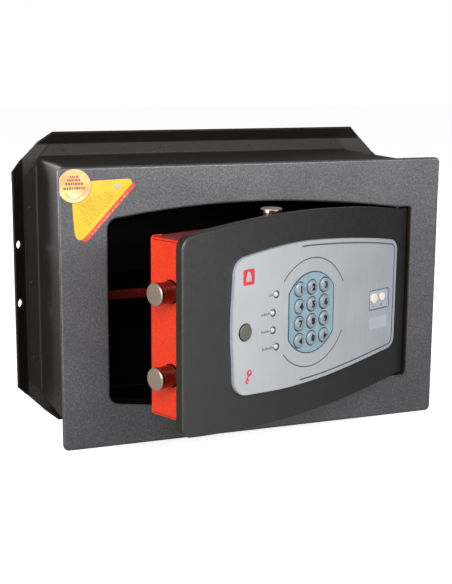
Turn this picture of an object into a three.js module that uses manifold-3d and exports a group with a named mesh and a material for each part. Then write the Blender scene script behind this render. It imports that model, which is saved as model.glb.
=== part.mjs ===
// Wall safe for building into masonry: a steel body with a pressed front frame, an anchoring back
// plate, and a door with an electronic keypad and motor-driven round bolts.
// Millimetres; +X right, +Y into the wall, +Z up. Pieces are written from the centre of the frame's
// front face; the last group moves the origin to the back plate's rear face, straight behind it.
// Door pieces are written closed, and one group swings them open about the hinge pins.
import * as THREE from "three";
import { mergeVertices } from "three/addons/utils/BufferGeometryUtils.js";
import Module from "manifold-3d";

const wasm = await Module();
wasm.setup();

// ---- finishes ----
const DARK = 0x36373a;
const RED = 0xd23420;
const NICKEL = 0xb5aea0;
const BLACKISH = 0x2a2624;
const finish = (color, { roughness, metalness }) => ({ color, roughness, metalness });
const FINISH = {
  frame: finish(0x6f7073, { roughness: 0.5, metalness: 0.6 }),
  body: finish(BLACKISH, { roughness: 0.55, metalness: 0.5 }),
  backPlate: finish(BLACKISH, { roughness: 0.6, metalness: 0.5 }),
  shelf: finish(0x8c2018, { roughness: 0.6, metalness: 0.1 }),
  socket: finish(DARK, { roughness: 0.5, metalness: 0.6 }),
  label: finish(0xfad24a, { roughness: 0.45, metalness: 0 }),
  labelBand: finish(0xf0564c, { roughness: 0.45, metalness: 0 }),
  seal: finish(0xd8b75a, { roughness: 0.35, metalness: 0.4 }),
  door: finish(DARK, { roughness: 0.42, metalness: 0.6 }),
  nickel: finish(NICKEL, { roughness: 0.3, metalness: 0.9 }),
  satinNickel: finish(NICKEL, { roughness: 0.35, metalness: 0.8 }),
  fascia: finish(0xb9bec4, { roughness: 0.35, metalness: 0.7 }),
  keypad: finish(0xa9c3d2, { roughness: 0.5, metalness: 0.1 }),
  key: finish(0xc9cdd2, { roughness: 0.35, metalness: 0.2 }),
  led: finish(0xf4f4ee, { roughness: 0.2, metalness: 0 }),
  window: finish(0xa9b1b8, { roughness: 0.4, metalness: 0.1 }),
  contact: finish(0xe8dcb0, { roughness: 0.35, metalness: 0.6 }),
  lockCover: finish(0x8c8b80, { roughness: 0.45, metalness: 0.3 }),
  redCover: finish(RED, { roughness: 0.35, metalness: 0.1 }),
  redLid: finish(RED, { roughness: 0.4, metalness: 0.1 }),
  holder: finish(0x1d1d20, { roughness: 0.6, metalness: 0 }),
  cells: finish(0x3d6b46, { roughness: 0.4, metalness: 0.2 }),
  button: finish(0x202024, { roughness: 0.4, metalness: 0 }),
  board: finish(0x2e5b3a, { roughness: 0.5, metalness: 0.1 }),
  motor: finish(0x9a9c9e, { roughness: 0.35, metalness: 0.8 }),
  carriage: finish(0x8d9093, { roughness: 0.4, metalness: 0.8 }),
  brass: finish(0xb08a3e, { roughness: 0.35, metalness: 0.9 }),
};

function mesh(name, geometry, look) {
  const piece = new THREE.Mesh(geometry, new THREE.MeshStandardMaterial(look));
  piece.name = name;
  return piece;
}

// ---- solids ----
function solid(geometry) {
  const bare = geometry.clone();
  bare.deleteAttribute("normal");
  bare.deleteAttribute("uv");
  const merged = mergeVertices(bare, 1e-4);
  return new wasm.Manifold(new wasm.Mesh({
    numProp: 3,
    vertProperties: new Float32Array(merged.attributes.position.array),
    triVerts: new Uint32Array(merged.index.array),
  }));
}

function fromSolid(manifold) {
  const { vertProperties, triVerts } = manifold.getMesh();
  const geometry = new THREE.BufferGeometry();
  const positions = new THREE.BufferAttribute(new Float32Array(vertProperties), 3);
  geometry.setAttribute("position", positions);
  geometry.setIndex(new THREE.BufferAttribute(new Uint32Array(triVerts), 1));
  geometry.computeVertexNormals();
  return geometry;
}

const join = (...pieces) => fromSolid(pieces.map(solid).reduce((a, b) => a.add(b)));
const cut = (body, ...tools) =>
  fromSolid(tools.map(solid).reduce((a, b) => a.subtract(b), solid(body)));

// a closed outline of [x, z] points, filling y0..y1
function slab(points, y0, y1, holes = []) {
  const vectors = (outline) => outline.map(([x, z]) => new THREE.Vector2(x, z));
  const shape = new THREE.Shape(vectors(points));
  shape.holes = holes.map((hole) => new THREE.Path(vectors(hole)));
  const options = { depth: y1 - y0, bevelEnabled: false, curveSegments: 8 };
  return new THREE.ExtrudeGeometry(shape, options).rotateX(Math.PI / 2).translate(0, y1, 0);
}

function box(x0, x1, y0, y1, z0, z1) {
  return new THREE.BoxGeometry(x1 - x0, y1 - y0, z1 - z0)
    .translate((x0 + x1) / 2, (y0 + y1) / 2, (z0 + z1) / 2);
}

// turn a geometry made along Y to lie along the named axis
function along(axis, geometry) {
  if (axis === "x") geometry.rotateZ(-Math.PI / 2);
  if (axis === "z") geometry.rotateX(Math.PI / 2);
  return geometry;
}

// profile is [radius, distance along axis] from the low end to the high end, closed on the axis
function turned(profile, axis, segments) {
  const points = profile.map(([radius, distance]) => new THREE.Vector2(radius, distance));
  return along(axis, new THREE.LatheGeometry(points, segments));
}

function rod(axis, radius, start, end, segments) {
  const cylinder = new THREE.CylinderGeometry(radius, radius, end - start, segments);
  return along(axis, cylinder.translate(0, (start + end) / 2, 0));
}

// ---- outlines in X and Z ----
function arc(x, z, radius, from, to, steps) {
  return Array.from({ length: steps + 1 }, (_, i) => {
    const angle = from + ((to - from) * i) / steps;
    return [x + radius * Math.cos(angle), z + radius * Math.sin(angle)];
  });
}
const circle = (x, z, radius, segments) =>
  arc(x, z, radius, 0, 2 * Math.PI, segments).slice(0, -1);

// round the corners of a polygon given as [x, z, radius]; radius 0 leaves the corner sharp
function rounded(corners, steps = 5) {
  return corners.flatMap(([x, z, radius], i) => {
    if (!radius) return [[x, z]];
    const corner = new THREE.Vector2(x, z);
    const toward = ([px, pz]) => new THREE.Vector2(px, pz).sub(corner).normalize();
    const before = toward(corners.at(i - 1));
    const after = toward(corners[(i + 1) % corners.length]);
    const half = Math.acos(THREE.MathUtils.clamp(before.dot(after), -1, 1)) / 2;
    const centre = before.clone().add(after).setLength(radius / Math.sin(half)).add(corner);
    const tangentAngle = (side) => {
      const point = corner.clone().addScaledVector(side, radius / Math.tan(half)).sub(centre);
      return Math.atan2(point.y, point.x);
    };
    const from = tangentAngle(before);
    let to = tangentAngle(after);
    while (to - from > Math.PI) to -= 2 * Math.PI;
    while (to - from < -Math.PI) to += 2 * Math.PI;
    return arc(centre.x, centre.y, radius, from, to, steps);
  });
}
const roundedRect = (x0, x1, z0, z1, radius, steps) =>
  rounded([[x0, z0, radius], [x1, z0, radius], [x1, z1, radius], [x0, z1, radius]], steps);
const centredRect = (halfX, halfZ, radius, steps) =>
  roundedRect(-halfX, halfX, -halfZ, halfZ, radius, steps);

// a round-ended slot between two centres
function slot(x0, z0, x1, z1, radius) {
  const angle = Math.atan2(z1 - z0, x1 - x0);
  const quarter = Math.PI / 2;
  return [
    ...arc(x0, z0, radius, angle + quarter, angle + 3 * quarter, 8),
    ...arc(x1, z1, radius, angle - quarter, angle + quarter, 8),
  ];
}

// how far an arc has fallen from its crown at a distance x from it
const arcDrop = (radius, x) => radius - Math.sqrt(radius ** 2 - x ** 2);

// ---- arched opening ----
const OPEN_L = -119.3;
const OPEN_R = 130;
const OPEN_Z = -2.2;
const OPEN_HALF = 78; // half height at the crown
const ARCH_R = 800;
const ARCH_END = 105; // the edges run level to the right of this
const ARCH_STATIONS = [-99, -80, -60, -40, -20, 0, 20, 40, 60, 80, ARCH_END];

// outline shared by the opening, its lip and the door; anticlockwise from the lower left
function arched(left, right, half, leftRadius, rightRadius) {
  const reach = (x) => half - arcDrop(ARCH_R, Math.min(x, ARCH_END));
  const corners = [
    [left, leftRadius],
    ...ARCH_STATIONS.map((x) => [x, 0]),
    [right, rightRadius],
  ];
  return rounded([
    ...corners.map(([x, radius]) => [x, OPEN_Z - reach(x), radius]),
    ...corners.reverse().map(([x, radius]) => [x, OPEN_Z + reach(x), radius]),
  ]);
}

// ---- hinge ----
const HINGE_X = 119;
const HINGE_Y = 3;
const OPEN_ANGLE = 24.45; // resting swing, degrees
const HINGE_PIN_R = 1.5;
const HINGE_BORE_R = 1.56;
const SOCKET = { left: 114, right: 124, front: 1.2, rear: 12, height: 9.8, gap: 0.1 };
const socketTop = OPEN_Z + OPEN_HALF - arcDrop(ARCH_R, ARCH_END); // opening's edges at the hinge
const socketBottom = 2 * OPEN_Z - socketTop;

// ---- front frame ----
const FRAME_W = 310;
const FRAME_H = 210;
const FRAME_T = 4;
const FRAME_R = 4;
const JAMB_T = 2; // return lip round the opening
const JAMB_Y = 18;
const BODY_X = 141.2; // body walls, outer half sizes
const BODY_Z = 101.4;
const BODY_T = 2;
const WELD_Y = 3.8; // floor of the weld groove in the frame's rear face

function frontFrame() {
  const opening = arched(OPEN_L, OPEN_R, OPEN_HALF, 8, 5);
  const lipOuter = arched(OPEN_L - JAMB_T, OPEN_R + JAMB_T, OPEN_HALF + JAMB_T, 10, 7);
  const outline = centredRect(FRAME_W / 2, FRAME_H / 2, FRAME_R, 5);
  const socketPocket = (z0, z1) => box(
    SOCKET.left - SOCKET.gap, SOCKET.right + SOCKET.gap,
    SOCKET.front - SOCKET.gap, JAMB_Y + 1, z0, z1,
  );
  const weldGroove = slab(centredRect(BODY_X, BODY_Z, 3, 3), WELD_Y, FRAME_T + 1,
    [centredRect(BODY_X - 1, BODY_Z - 1, 2, 3)]);
  return mesh("front_frame", cut(
    join(slab(outline, 0, FRAME_T, [opening]), slab(lipOuter, FRAME_T - 0.5, JAMB_Y, [opening])),
    socketPocket(socketTop - 1, socketTop + 11),
    socketPocket(socketBottom - 11, socketBottom + 1),
    weldGroove,
  ), FINISH.frame);
}

// ---- body shell ----
const FLANGE_Y = 136;
const BACK_Y = 138; // the body ends and the back plate begins
const BACK_T = 2;
const CREASE_X = 160.6; // lip creases and free edges, from the back plate's centre
const CREASE_Z = 112.9;
const LIP_OUT_X = 169.8;
const LIP_OUT_Z = 122.3;
const CREASE_CUT = 13.9;
const TOP_BOTTOM = [0, Math.PI]; // turns about Y that carry a top piece to each side
const RIGHT_LEFT = [Math.PI / 2, -Math.PI / 2];

// a rear tab, its ends cut back so the corners stay open
function rearTab(halfWidth, inner, outer, turn) {
  const outerHalf = halfWidth - (outer - inner);
  return slab([
    [-halfWidth, inner - 1.5], [halfWidth, inner - 1.5], [halfWidth, inner],
    [outerHalf, outer], [-outerHalf, outer], [-halfWidth, inner],
  ], FLANGE_Y, BACK_Y).rotateY(turn);
}

function bodyShell() {
  const inside = centredRect(BODY_X - BODY_T, BODY_Z - BODY_T, 1, 3);
  return mesh("body_shell", join(
    slab(centredRect(BODY_X, BODY_Z, 3, 3), FRAME_T, BACK_Y, [inside]),
    ...TOP_BOTTOM.map((turn) => rearTab(138.6, BODY_Z, CREASE_Z - 1.2, turn)),
    ...RIGHT_LEFT.map((turn) => rearTab(95.5, BODY_X, 153, turn)),
  ), FINISH.body);
}

// ---- back plate: flat octagon with four lips folded forward at the creases ----
const PLATE_X = 6.4; // the plate's centre stands off to the hinge side
const LIP_DEPTH = 9;
const ANCHOR = { x: 165.3, y: 134.6, heights: [30.3, -18.8], radius: 3.4, tilt: Math.PI / 4.2 };

// a tapering strip from the crease (inner) to the free edge (outer), made at the top and turned
function foldedLip(halfLength, inner, outer, taper, turn) {
  const rear = BACK_Y + BACK_T;
  const slope = Math.hypot(outer - inner, LIP_DEPTH);
  const thickZ = (BACK_T * LIP_DEPTH) / slope;
  const thickY = (BACK_T * (outer - inner)) / slope;
  const freeHalf = halfLength - taper;
  // section as [half length, y, z]: rear face, then front face
  const section = [
    [halfLength, rear, inner - 1],
    [freeHalf, rear - LIP_DEPTH, outer],
    [freeHalf, rear - LIP_DEPTH - thickY, outer - thickZ],
    [halfLength, BACK_Y, inner - 1],
  ];
  const vertices = [-1, 1].flatMap((side) => section.flatMap(([x, y, z]) => [side * x, y, z]));
  const faces = [
    [0, 3, 2, 1], [4, 5, 6, 7], [0, 1, 5, 4], [1, 2, 6, 5], [2, 3, 7, 6], [3, 0, 4, 7],
  ];
  const geometry = new THREE.BufferGeometry();
  geometry.setAttribute("position", new THREE.BufferAttribute(new Float32Array(vertices), 3));
  geometry.setIndex(faces.flatMap(([a, b, c, d]) => [a, b, c, a, c, d]));
  return geometry.rotateY(turn);
}

function backPlate() {
  const endX = CREASE_X - CREASE_CUT;
  const endZ = CREASE_Z - CREASE_CUT;
  const octagon = [
    [-endX, -CREASE_Z], [endX, -CREASE_Z], [CREASE_X, -endZ], [CREASE_X, endZ],
    [endX, CREASE_Z], [-endX, CREASE_Z], [-CREASE_X, endZ], [-CREASE_X, -endZ],
  ];
  const plate = join(
    slab(octagon, BACK_Y, BACK_Y + BACK_T),
    ...TOP_BOTTOM.map((turn) => foldedLip(endX, CREASE_Z, LIP_OUT_Z, 11.8, turn)),
    ...RIGHT_LEFT.map((turn) => foldedLip(endZ, CREASE_X, LIP_OUT_X, 9, turn)),
  );
  const anchorHoles = [-1, 1].flatMap((side) => ANCHOR.heights.map((z) =>
    rod("x", ANCHOR.radius, -12, 12, 20)
      .rotateY(side * ANCHOR.tilt)
      .translate(side * ANCHOR.x, ANCHOR.y, z)));
  const drilled = cut(plate, ...anchorHoles).translate(PLATE_X, 0, 0);
  return mesh("back_plate", drilled, FINISH.backPlate);
}

// ---- shelf: folded tray with a front lip and turned-down ends ----
const SHELF = { z: 2, y: 62, lip: 7.6, end: 12, t: 1.2 };

function shelf() {
  const { z, y, lip, end, t } = SHELF;
  const inner = BODY_X - BODY_T;
  const foldTop = z - 0.2; // the folds run up into the tray
  return mesh("shelf", join(
    box(-inner, inner, y, BACK_Y, z - t, z),
    box(-inner, inner, y, y + t, z - lip, foldTop),
    box(-inner, -inner + t, y, BACK_Y, z - end, foldTop),
    box(inner - t, inner, y, BACK_Y, z - end, foldTop),
  ), FINISH.shelf);
}

function hingeSocket(name, z0, z1) {
  const block = box(SOCKET.left, SOCKET.right, SOCKET.front, SOCKET.rear, z0, z1);
  const bore = rod("z", HINGE_BORE_R, -20, 20, 32).translate(HINGE_X, HINGE_Y, (z0 + z1) / 2);
  return mesh(name, cut(block, bore), FINISH.socket);
}

// ---- stickers on the upper left of the frame ----
const STICKER_T = 0.3;
const SEAL = { x: -143.6, z: 91.8, radius: 12.1, gap: 0.35, segments: 40 };
const LABEL = [ // x, z
  [-145, 71], [-143.9, 57], [-142.6, 53.4], [-139.7, 54.4],
  [-104.8, 91.9], [-106.6, 95.8], [-128, 95.2],
];
const LABEL_BAND = [ // x, z
  [-142.4, 52.9], [-141, 51.4], [-138.4, 51.1], [-136, 52.6], [-102.2, 89], [-101.2, 91.4],
  [-102, 94.2], [-104.6, 96], [-106.2, 96], [-104.4, 91.8], [-139.5, 54.1],
];

function stickers() {
  const { degToRad } = THREE.MathUtils;
  const { x, z, radius, gap, segments } = SEAL;
  // the upper left of the label is cut back round the seal
  const cutBack = arc(x, z, radius + gap, degToRad(14), degToRad(-86), 10);
  // the seal is trimmed just inside the frame's left edge
  const seal = circle(x, z, radius, segments)
    .map(([px, pz]) => [Math.max(px, -FRAME_W / 2 + 0.3), pz]);
  return [
    mesh("corner_label", slab([...LABEL, ...cutBack], -STICKER_T, 0), FINISH.label),
    mesh("corner_label_band", slab(LABEL_BAND, -STICKER_T, 0), FINISH.labelBand),
    mesh("round_seal", slab(seal, -STICKER_T, 0), FINISH.seal),
  ];
}

// ---- door plate and hinge pins ----
const DOOR_T = 6;
const DOOR_GAP = 0.9;
const DOOR_R_EDGE = 129;
const REST = 0.06; // gap left where one piece of the swung door rests on another
const DOOR_BACK = DOOR_T + REST; // where pieces rest on the door plate's rear face
const PLUG_X = -61.5; // emergency lock
const PLUG_Z = -5.8;
const PLUG_HOLE_R = 4.9;
const doorTop = socketTop - DOOR_GAP; // door's edges at the hinge
const doorBottom = socketBottom + DOOR_GAP;

function doorPlate() {
  const outline = arched(OPEN_L + DOOR_GAP, DOOR_R_EDGE, OPEN_HALF - DOOR_GAP, 9, 4.2);
  return mesh("door_plate", cut(
    slab(outline, 0, DOOR_T),
    rod("y", PLUG_HOLE_R, -1, 8, 32).translate(PLUG_X, 0, PLUG_Z),
    ...[doorTop, doorBottom].map((z) =>
      rod("z", HINGE_BORE_R, -12, 12, 24).translate(HINGE_X, HINGE_Y, z)),
    box(-20, -6, -1, 8, -6, 2), // cable passage behind the keypad
  ), FINISH.door);
}

function hingePin(name, z0, z1) {
  const pin = rod("z", HINGE_PIN_R, z0, z1, 32).translate(HINGE_X, HINGE_Y, 0);
  return mesh(name, pin, FINISH.nickel);
}

// ---- fascia and keypad ----
const FASCIA_T = 3;
const FASCIA = { radius: 740, crownX: -6, half: 52.8, lowerZ: -2.2, upperZ: -1.4 };
const FASCIA_STATIONS = [-52, -30, -10, 10, 30, 50, 70, 90];
const PAD = { x: 9.3, z: -2, radius: 30.5, half: 25.3 }; // a circle cut off at left and right
const FIT_GAP = 0.15; // round the keypad panel and the contact window
const KEY_R = 5.65;
const KEY_COLS = [-4.6, 9.2, 23.2];
const KEY_ROWS = [17.1, 4.3, -8.5, -21.3];
const KEY_NAMES = ["1", "2", "3", "4", "5", "6", "7", "8", "9", "left", "0", "right"];
const KEY_PROFILE = [[0, 0.95], [KEY_R, 0.95], [KEY_R, 4.2], [KEY_R * 0.72, 4.95], [0, 5.27]];
const LEDS = [[-29.8, 17], [-33.3, 3.9], [-33.2, -8.8], [-29.3, -21.5]]; // x, z
const LED_PROFILE = [[0, 0.05], [2.2, 0.05], [2.2, 3.1], [1.5, 4], [0, 4.35]];
const WINDOW = { left: 79.4, right: 103.8, bottom: -11.3, top: 3.7 }; // low-battery contacts
const KEYS = KEY_ROWS.flatMap((z) => KEY_COLS.map((x) => [x, z]));

function padOutline(gap) {
  const radius = PAD.radius + gap;
  const angle = Math.acos((PAD.half + gap) / radius);
  return [0, Math.PI].flatMap((turn) =>
    arc(PAD.x, PAD.z, radius, turn + angle, turn + Math.PI - angle, 12));
}

const windowOutline = (gap) => roundedRect(
  WINDOW.left - gap, WINDOW.right + gap, WINDOW.bottom - gap, WINDOW.top + gap, 1.5, 3);

function fasciaPlate() {
  const { radius, crownX, half, lowerZ, upperZ } = FASCIA;
  const reach = (x) => half - arcDrop(radius, x - crownX);
  const outline = rounded([
    [-73.4, lowerZ - reach(-73.4), 13],
    ...FASCIA_STATIONS.map((x) => [x, lowerZ - reach(x), 0]),
    [111.4, -2.6 - reach(111.4), 9],
    [112.8, -2 + reach(112.8), 9],
    ...[...FASCIA_STATIONS].reverse().map((x) => [x, upperZ + reach(x), 0]),
    [-73.2, upperZ + reach(-73.2), 13],
    [-75.4, 16, 0], [-76, -1.8, 0], [-75.5, -20, 0], // bowed left edge
  ]);
  return mesh("fascia_plate", slab(outline, -FASCIA_T, -REST, [
    padOutline(FIT_GAP),
    circle(PLUG_X, PLUG_Z, PLUG_HOLE_R, 32),
    windowOutline(FIT_GAP),
    ...LEDS.map(([x, z]) => circle(x, z, 2.45, 12)),
  ]), FINISH.fascia);
}

function keypadPanel() {
  const keyHoles = KEYS.map(([x, z]) => circle(x, z, KEY_R + 0.3, 18));
  const panel = slab(padOutline(0), -FASCIA_T - 0.2, -REST, keyHoles);
  return mesh("keypad_panel", panel, FINISH.keypad);
}

// a turned piece whose dome faces out of the door
function dome(name, profile, segments, [x, z], look) {
  const piece = mesh(name, turned(profile, "y", segments).rotateX(Math.PI), look);
  piece.position.set(x, 0, z);
  return piece;
}

function contacts() {
  const floor = -1.6; // the window's front face
  const contact = (name, radius, x) =>
    mesh(name, rod("y", radius, -2.9, floor - REST, 24).translate(x, 0, -2.6), FINISH.contact);
  return [
    mesh("contact_window", slab(windowOutline(0), floor, -REST), FINISH.window),
    contact("contact_large", 3.7, 86),
    contact("contact_small", 2.9, 96.4),
  ];
}

// ---- emergency lock behind a turning round cover ----
function overrideLock() {
  const housing = cut(rod("y", 9, DOOR_BACK, 17.5, 32), rod("y", PLUG_HOLE_R, 0, 30, 32));
  const keyway = box(-0.7, 0.7, -5, -0.6, -3.2, 3.2);
  const plug = cut(rod("y", 4.78, -2.7, 17.2, 32), keyway);
  const cover = rod("y", 5.9, -4.3, -FASCIA_T - 0.1, 32);
  const place = (geometry) => geometry.translate(PLUG_X, 0, PLUG_Z);
  return [
    mesh("override_housing", place(housing), FINISH.satinNickel),
    mesh("override_plug", place(plug), FINISH.nickel),
    mesh("override_cover", place(cover), FINISH.lockCover),
  ];
}

// ---- mechanism cover: a folded sheet box, open to the door ----
const COVER = { left: -100.7, right: 95, bottom: -66.8, top: 60.5, rear: 52, t: 1.2 };
const COVER_SCREWS = [[-96.3, 38.7], [90, 38.7], [-96.3, -46], [90, -46]]; // x, z
const LID = { left: 33, right: 69, bottom: -29, top: 29, gap: 0.4 };
const RESET = { x: 83, z: 22, radius: 3, holeRadius: 3.3 };
const BOLT_Y = 30.7;
const SIDE_BOLTS = [23.7, -35.9]; // z
const UPRIGHT_X = 1; // top and bottom bolts

function mechanismCover() {
  const { left, right, bottom, top, rear, t } = COVER;
  return mesh("mechanism_cover", cut(
    box(left, right, DOOR_BACK, rear, bottom, top),
    box(left + t, right - t, DOOR_T - 1, rear - t, bottom + t, top - t),
    ...SIDE_BOLTS.map((z) => rod("x", 9, -6, 6, 32).translate(left, BOLT_Y, z)),
    ...[top, bottom].map((z) => rod("z", 9, -6, 6, 32).translate(UPRIGHT_X, BOLT_Y, z)),
    box(LID.left - LID.gap, LID.right + LID.gap, rear - 4, rear + 4,
      LID.bottom - LID.gap, LID.top + LID.gap),
    rod("y", RESET.holeRadius, rear - 5, rear + 5, 20).translate(RESET.x, 0, RESET.z),
    ...COVER_SCREWS.map(([x, z]) => rod("y", 1.6, rear - 5, rear + 5, 16).translate(x, 0, z)),
  ), FINISH.redCover);
}

function coverScrew([x, z], i) {
  const { rear } = COVER;
  const screw = turned([
    [0, rear - 6], [1.45, rear - 6], [1.45, rear + REST], [2.9, rear + REST],
    [2.9, rear + 0.9], [1.9, rear + 1.6], [0, rear + 1.7],
  ], "y", 12);
  return mesh(`cover_screw_${i + 1}`, screw.translate(x, 0, z), FINISH.nickel);
}

// ---- battery bay and reset button ----
const CELLS = [[43.6, 26.2], [57.6, 26.2], [43.6, 40.2], [57.6, 40.2]]; // x, y

function batteryBay() {
  const { rear, t } = COVER;
  const lid = cut(
    box(LID.left, LID.right, rear - t, rear, LID.bottom, LID.top),
    box(LID.right - 6, LID.right - 3, rear - 0.6, rear + 1, -10, 10), // groove
  );
  const holder = cut(box(34, 68, 17, 49.5, -30, 30), box(35.4, 66.6, 18.4, 60, -28.4, 28.4));
  const cells = CELLS.map(([x, y]) => join(
    rod("z", 7.05, -24.6, 24.6, 20).translate(x, y, 0),
    rod("z", 2.6, 24, 26.2, 12).translate(x, y, 0),
  ));
  const button = rod("y", RESET.radius, 46, rear + 1.4, 20).translate(RESET.x, 0, RESET.z);
  return [
    mesh("battery_lid", lid, FINISH.redLid),
    mesh("battery_holder", holder, FINISH.holder),
    mesh("battery_cells", join(...cells), FINISH.cells),
    mesh("reset_button", button, FINISH.button),
  ];
}

function controlBoard() {
  return mesh("control_board", join(
    box(-48, 27, 7.4, 9, -25, 25),
    box(-40, -26, 8.9, 13, 4, 16),
    box(-12, 2, 8.9, 11.4, -20, -8),
    box(12, 22, 8.9, 14.4, 6, 18),
    box(-36, -24, 8.9, 12, -22, -14),
  ), FINISH.board);
}

// ---- gear motor with its lead screw ----
const onDriveAxis = (geometry) => geometry.translate(0, 24, -6);

function gearMotor() {
  return mesh("gear_motor", join(
    onDriveAxis(rod("x", 8.6, -26, -2, 28)),
    box(-50, -25.6, 15.4, 32.6, -15, 3),
    onDriveAxis(rod("x", 3, -2.4, 1, 16)),
  ), FINISH.motor);
}

const driveScrew = () =>
  mesh("drive_screw", onDriveAxis(rod("x", 2.5, -96, -50.1, 24)), FINISH.nickel);

// ---- sliding carriage with two slanted cam slots and two guide slots ----
const THROW = 16;
const CARRIAGE = { left: -76, right: 26, bottom: -49, top: 37, y: 37, t: 2 };
const POSTS = [[-50, 30], [-50, -42]]; // x, z
const TOP_PIN_Z = 14;
const BOTTOM_PIN_Z = -26;

function boltCarriage() {
  const { left, right, bottom, top, y, t } = CARRIAGE;
  const camSlot = (z, rise) => slot(UPRIGHT_X, z, UPRIGHT_X + THROW, z + rise, 2.3);
  const plate = slab([[left, bottom], [right, bottom], [right, top], [left, top]], y, y + t, [
    camSlot(TOP_PIN_Z, THROW),
    camSlot(BOTTOM_PIN_Z, -THROW),
    ...POSTS.map(([x, z]) => slot(x, z, x + THROW, z, 2.8)),
  ]);
  const endWall = cut(
    box(left, left + t, 19.5, y + t, bottom, top),
    onDriveAxis(rod("x", 3.4, -90, -60, 24)),
  );
  return mesh("bolt_carriage", join(plate, endWall), FINISH.carriage);
}

function driveNut() {
  const { left, t } = CARRIAGE;
  const nut = cut(rod("x", 5, left + t + REST, left + 9, 6), rod("x", 2.62, -90, -50, 24));
  return mesh("drive_nut", onDriveAxis(nut), FINISH.brass);
}

function guidePost([x, z], i) {
  const { y } = CARRIAGE;
  const post = turned([
    [0, DOOR_BACK], [4, DOOR_BACK], [4, y - 0.4], [2.5, y - 0.4],
    [2.5, y + 2.4], [4.6, y + 2.4], [4.6, y + 4], [0, y + 4],
  ], "y", 20);
  return mesh(`guide_post_${i + 1}`, post.translate(x, 0, z), FINISH.satinNickel);
}

// ---- round bolts: a head with a rim, a thinner shaft ----
const HEAD_R = 8.15;
const SHAFT_R = 6.7;

function boltBody(tip, end, axis) {
  const outward = Math.sign(tip - end);
  const profile = [
    [0, tip], [HEAD_R - 0.7, tip], [HEAD_R, tip - outward * 0.7], [HEAD_R, tip - outward * 4],
    [SHAFT_R, tip - outward * 4.6], [SHAFT_R, end], [0, end],
  ];
  if (outward > 0) profile.reverse(); // always from the low end to the high end
  return turned(profile, axis, 24);
}

function sideBolt(name, z) {
  const bolt = boltBody(-116.3, CARRIAGE.left - REST, "x").translate(0, BOLT_Y, z);
  return mesh(name, bolt, FINISH.nickel);
}

// a top or bottom bolt, with a flat blade carrying the cam pin
function uprightBolt(name, tip, end, pinZ) {
  const outward = Math.sign(tip - end);
  const bladeEnds = [pinZ - outward * 4, end + outward * 2];
  return mesh(name, join(
    boltBody(tip, end, "z").translate(UPRIGHT_X, BOLT_Y, 0),
    box(UPRIGHT_X - 6, UPRIGHT_X + 6, 33.4, 36.6, Math.min(...bladeEnds), Math.max(...bladeEnds)),
    rod("y", 2, 36, 40.6, 20).translate(UPRIGHT_X, 0, pinZ),
  ), FINISH.nickel);
}

// ---- assembly ----
function group(name, ...children) {
  const result = new THREE.Group();
  result.name = name;
  return result.add(...children);
}

const door = group("door_parts",
  doorPlate(),
  hingePin("hinge_pin_top", doorTop - 11, socketTop + 7),
  hingePin("hinge_pin_bottom", socketBottom - 7, doorBottom + 11),
  fasciaPlate(),
  keypadPanel(),
  ...KEYS.map((place, i) => dome(`key_${KEY_NAMES[i]}`, KEY_PROFILE, 18, place, FINISH.key)),
  ...LEDS.map((place, i) => dome(`led_${i + 1}`, LED_PROFILE, 12, place, FINISH.led)),
  ...contacts(),
  ...overrideLock(),
  mechanismCover(),
  ...COVER_SCREWS.map(coverScrew),
  ...batteryBay(),
  controlBoard(),
  gearMotor(),
  driveScrew(),
  boltCarriage(),
  driveNut(),
  ...POSTS.map(guidePost),
  sideBolt("bolt_side_upper", SIDE_BOLTS[0]),
  sideBolt("bolt_side_lower", SIDE_BOLTS[1]),
  uprightBolt("bolt_top", 73.2, 41, TOP_PIN_Z),
  uprightBolt("bolt_bottom", -77.4, -53, BOTTOM_PIN_Z),
);
door.position.set(-HINGE_X, -HINGE_Y, 0);

const swing = group("door_swing", door);
swing.position.set(HINGE_X, HINGE_Y, 0);
swing.rotation.z = THREE.MathUtils.degToRad(OPEN_ANGLE);

const safe = group("wall_safe",
  frontFrame(),
  bodyShell(),
  backPlate(),
  shelf(),
  hingeSocket("hinge_socket_top", socketTop, socketTop + SOCKET.height),
  hingeSocket("hinge_socket_bottom", socketBottom - SOCKET.height, socketBottom),
  ...stickers(),
  swing,
);
safe.position.set(0, -(BACK_Y + BACK_T), 0);

export default group("wall_safe_part", safe);
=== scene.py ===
"""A small wall safe with an electronic keypad door that stands ajar.

Lengths are millimetres from the centre of the front frame's face: +X right, +Y back into
the wall, +Z up, so the front faces -Y. Door pieces are written with the door closed, and
the SWING matrix carries them to where the open door rests.
"""

import math

import bmesh
import bpy
from mathutils import Matrix, Vector
from mathutils.geometry import tessellate_polygon


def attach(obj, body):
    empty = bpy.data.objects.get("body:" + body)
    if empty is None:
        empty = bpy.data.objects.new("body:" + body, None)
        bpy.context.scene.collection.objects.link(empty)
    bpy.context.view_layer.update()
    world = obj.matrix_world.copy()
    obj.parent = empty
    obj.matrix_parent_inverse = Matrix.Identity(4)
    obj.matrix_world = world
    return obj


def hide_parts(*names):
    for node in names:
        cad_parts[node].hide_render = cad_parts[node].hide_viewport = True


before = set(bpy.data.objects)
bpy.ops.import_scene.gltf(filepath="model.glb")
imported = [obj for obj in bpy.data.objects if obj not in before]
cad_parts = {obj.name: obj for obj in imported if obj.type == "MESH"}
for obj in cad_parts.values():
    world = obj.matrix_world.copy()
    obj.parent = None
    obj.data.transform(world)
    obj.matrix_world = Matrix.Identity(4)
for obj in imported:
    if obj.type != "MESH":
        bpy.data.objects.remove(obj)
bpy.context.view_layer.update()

MM = 0.001  # metres in a millimetre
COLLECTION = bpy.context.scene.collection


def rotation(degrees, axis):
    return Matrix.Rotation(math.radians(degrees), 4, axis)


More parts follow.
